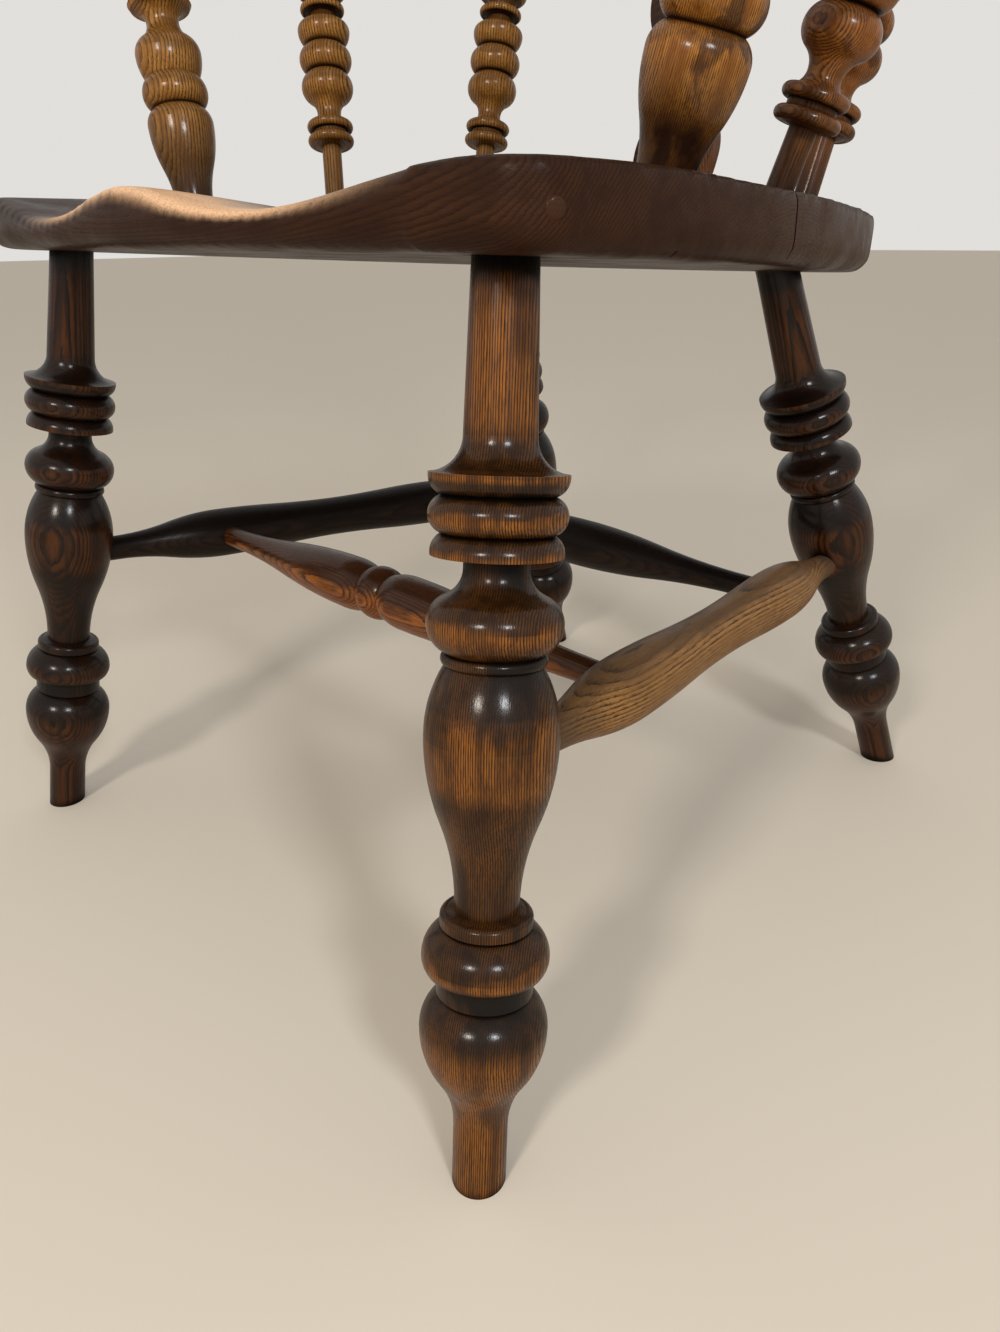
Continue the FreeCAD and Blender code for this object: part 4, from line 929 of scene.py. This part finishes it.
@dataclass
class ArmAndBack:
    """The arm bow, the hoop, the splats and the pegs."""

    finishes: dict[str, Woods] = field(default_factory=lambda: {
        "arm_left": Woods.BOW, "arm_right": Woods.BOW, "arm_back": Woods.BOW, "back_hoop": Woods.BOW,
        "lower_splat": Woods.BOW, "upper_splat": Woods.BOW, "arm_lap_pegs": Woods.PEG,
    })
    bent: str = "back_hoop"
    across: tuple[str, ...] = ("arm_back",)
    upright: tuple[str, ...] = ("lower_splat", "upper_splat", "arm_lap_pegs")
    heart: Vector = field(default_factory=lambda: Vector((0.3, 1.0, 0.6)))
    first_number: int = 50

    def grain(self, node: str) -> Axis:
        """Gives the line that a sawn piece's grain follows.

        Args:
            node: The piece's name.

        Returns:
            The line.
        """
        low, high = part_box(node)
        middle = (low + high) / 2
        if node in self.upright:
            return Axis(Vector((middle.x, middle.y, low.z)), Vector((middle.x, middle.y, high.z)))
        if node in self.across:
            return Axis(Vector((low.x, middle.y, middle.z)), Vector((high.x, middle.y, middle.z)))
        return Axis(Vector((middle.x, low.y, middle.z)), Vector((middle.x, high.y, middle.z)))

    @staticmethod
    def arch() -> Axis:
        """Gives the hoop's line from the middle of its round bend to its top."""
        points = node_points("back_hoop")
        close = 3e-4
        top = Vector(points[points[:, 2] > points[:, 2].max() - close].mean(axis=0))
        foot = Vector(points[points[:, 2] < points[:, 2].min() + close].mean(axis=0))
        radius = np.ptp(points[:, 0]) / 2
        return Axis(top - (top - foot).normalized() * radius, top)

    def dress(self) -> None:
        """Gives every sawn or bent node its own material."""
        for number, (node, wood) in enumerate(self.finishes.items(), start=self.first_number):
            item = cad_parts[node]
            item.data.materials.clear()
            if node == self.bent:
                arch = self.arch()
                finish = wood.value.material(node, arch, Vector((1.0, 0.0, 0.0)), number, arch.length)
            else:
                finish = wood.value.material(node, self.grain(node), self.heart, number)
            item.data.materials.append(finish)
            LOG.info("dressed %s", node)


@dataclass(frozen=True)
class Lamp:
    """A square lamp that shines on the chair."""

    name: str
    place: tuple[float, float, float]
    power: float
    colour: tuple[float, float, float]
    side: float = 0.34

    def build(self, aim: Vector) -> None:
        """Hangs the lamp.

        Args:
            aim: The point that it shines on.
        """
        light = bpy.data.lights.new(self.name, "AREA")
        light.size = self.side
        light.energy = self.power
        light.color = self.colour
        item = bpy.data.objects.new(self.name, light)
        item.location = self.place
        item.rotation_euler = (aim - Vector(self.place)).to_track_quat("-Z", "Y").to_euler()
        bpy.context.scene.collection.objects.link(item)


@dataclass
class Studio:
    """A pale floor, soft lamps and the camera."""

    camera_place: Vector = field(default_factory=lambda: Vector((0.47065, -0.48041, 0.40303)))
    heading: float = -0.798
    dip: float = 0.4213
    roll: float = 0.0108
    lens: float = 26.15
    floor_side: float = 40.0
    floor_colour: Colour = (0.68, 0.61, 0.51, 1.0)
    floor_roughness: float = 0.9
    sky_colour: Colour = (0.80, 0.78, 0.75, 1.0)
    sky_fill: float = 0.75
    sky_seen: float = 0.95
    aim: Vector = field(default_factory=lambda: Vector((0.0, 0.0, 0.35)))
    lamps: tuple[Lamp, ...] = (
        Lamp("left_lamp", (0.75, -2.15, 1.5), 26.0, (1.0, 0.92, 0.82)),
        Lamp("right_lamp", (2.05, -0.9, 1.5), 25.0, (0.94, 0.97, 1.0)),
    )

    def floor(self) -> None:
        """Lays a plain pale floor."""
        bpy.ops.object.select_all(action="DESELECT")
        bpy.ops.mesh.primitive_plane_add(size=self.floor_side)
        plane = bpy.context.active_object
        plane.name = "studio_floor"
        graph = ShaderGraph("pale_floor")
        graph.surface.inputs["Base Color"].default_value = self.floor_colour
        graph.surface.inputs["Roughness"].default_value = self.floor_roughness
        plane.data.materials.append(graph.material)

    def sky(self) -> None:
        """Fills the room with even light."""
        world = bpy.data.worlds.new("studio_room")
        world.use_nodes = True
        tree = world.node_tree
        background = tree.nodes["Background"]
        background.inputs["Color"].default_value = self.sky_colour
        ray = tree.nodes.new("ShaderNodeLightPath")
        strength = None
        for kind in ("Is Camera Ray", "Is Glossy Ray", "Is Transmission Ray"):
            choice = tree.nodes.new("ShaderNodeMix")
            choice.inputs["A"].default_value = self.sky_fill
            choice.inputs["B"].default_value = self.sky_seen
            tree.links.new(ray.outputs[kind], choice.inputs["Factor"])
            if strength:
                tree.links.new(strength, choice.inputs["A"])
            strength = choice.outputs["Result"]
        tree.links.new(strength, background.inputs["Strength"])
        bpy.context.scene.world = world

    def camera(self) -> None:
        """Sets the camera where the photograph was taken."""
        forward = Vector((math.sin(self.heading) * math.cos(self.dip),
                          math.cos(self.heading) * math.cos(self.dip), -math.sin(self.dip)))
        level = Vector((math.cos(self.heading), -math.sin(self.heading), 0.0))
        down = forward.cross(level)
        right = level * math.cos(self.roll) + down * math.sin(self.roll)
        up = level * math.sin(self.roll) - down * math.cos(self.roll)
        data = bpy.data.cameras.new("photo_camera")
        data.lens = self.lens
        data.clip_start = 0.01
        item = bpy.data.objects.new("photo_camera", data)
        turn = Matrix((right, up, -forward)).transposed().to_4x4()
        item.matrix_world = Matrix.Translation(self.camera_place) @ turn
        bpy.context.scene.collection.objects.link(item)
        bpy.context.scene.camera = item

    def build(self) -> None:
        """Sets up the whole studio."""
        self.floor()
        self.sky()
        for lamp in self.lamps:
            lamp.build(self.aim)
        self.camera()
        bpy.context.scene.view_settings.view_transform = "Standard"
        LOG.info("set up the studio")


def main() -> None:
    """Builds and dresses the chair's pieces in order."""
    logging.basicConfig(level=logging.INFO)
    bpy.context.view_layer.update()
    TurnedPieces().dress()
    ArmAndBack().dress()
    seat = SaddleSeat()
    seat.dress(seat.build())
    pegs = LegPegs()
    pegs.dress(pegs.build())
    Studio().build()


if __name__ == "__main__":
    main()
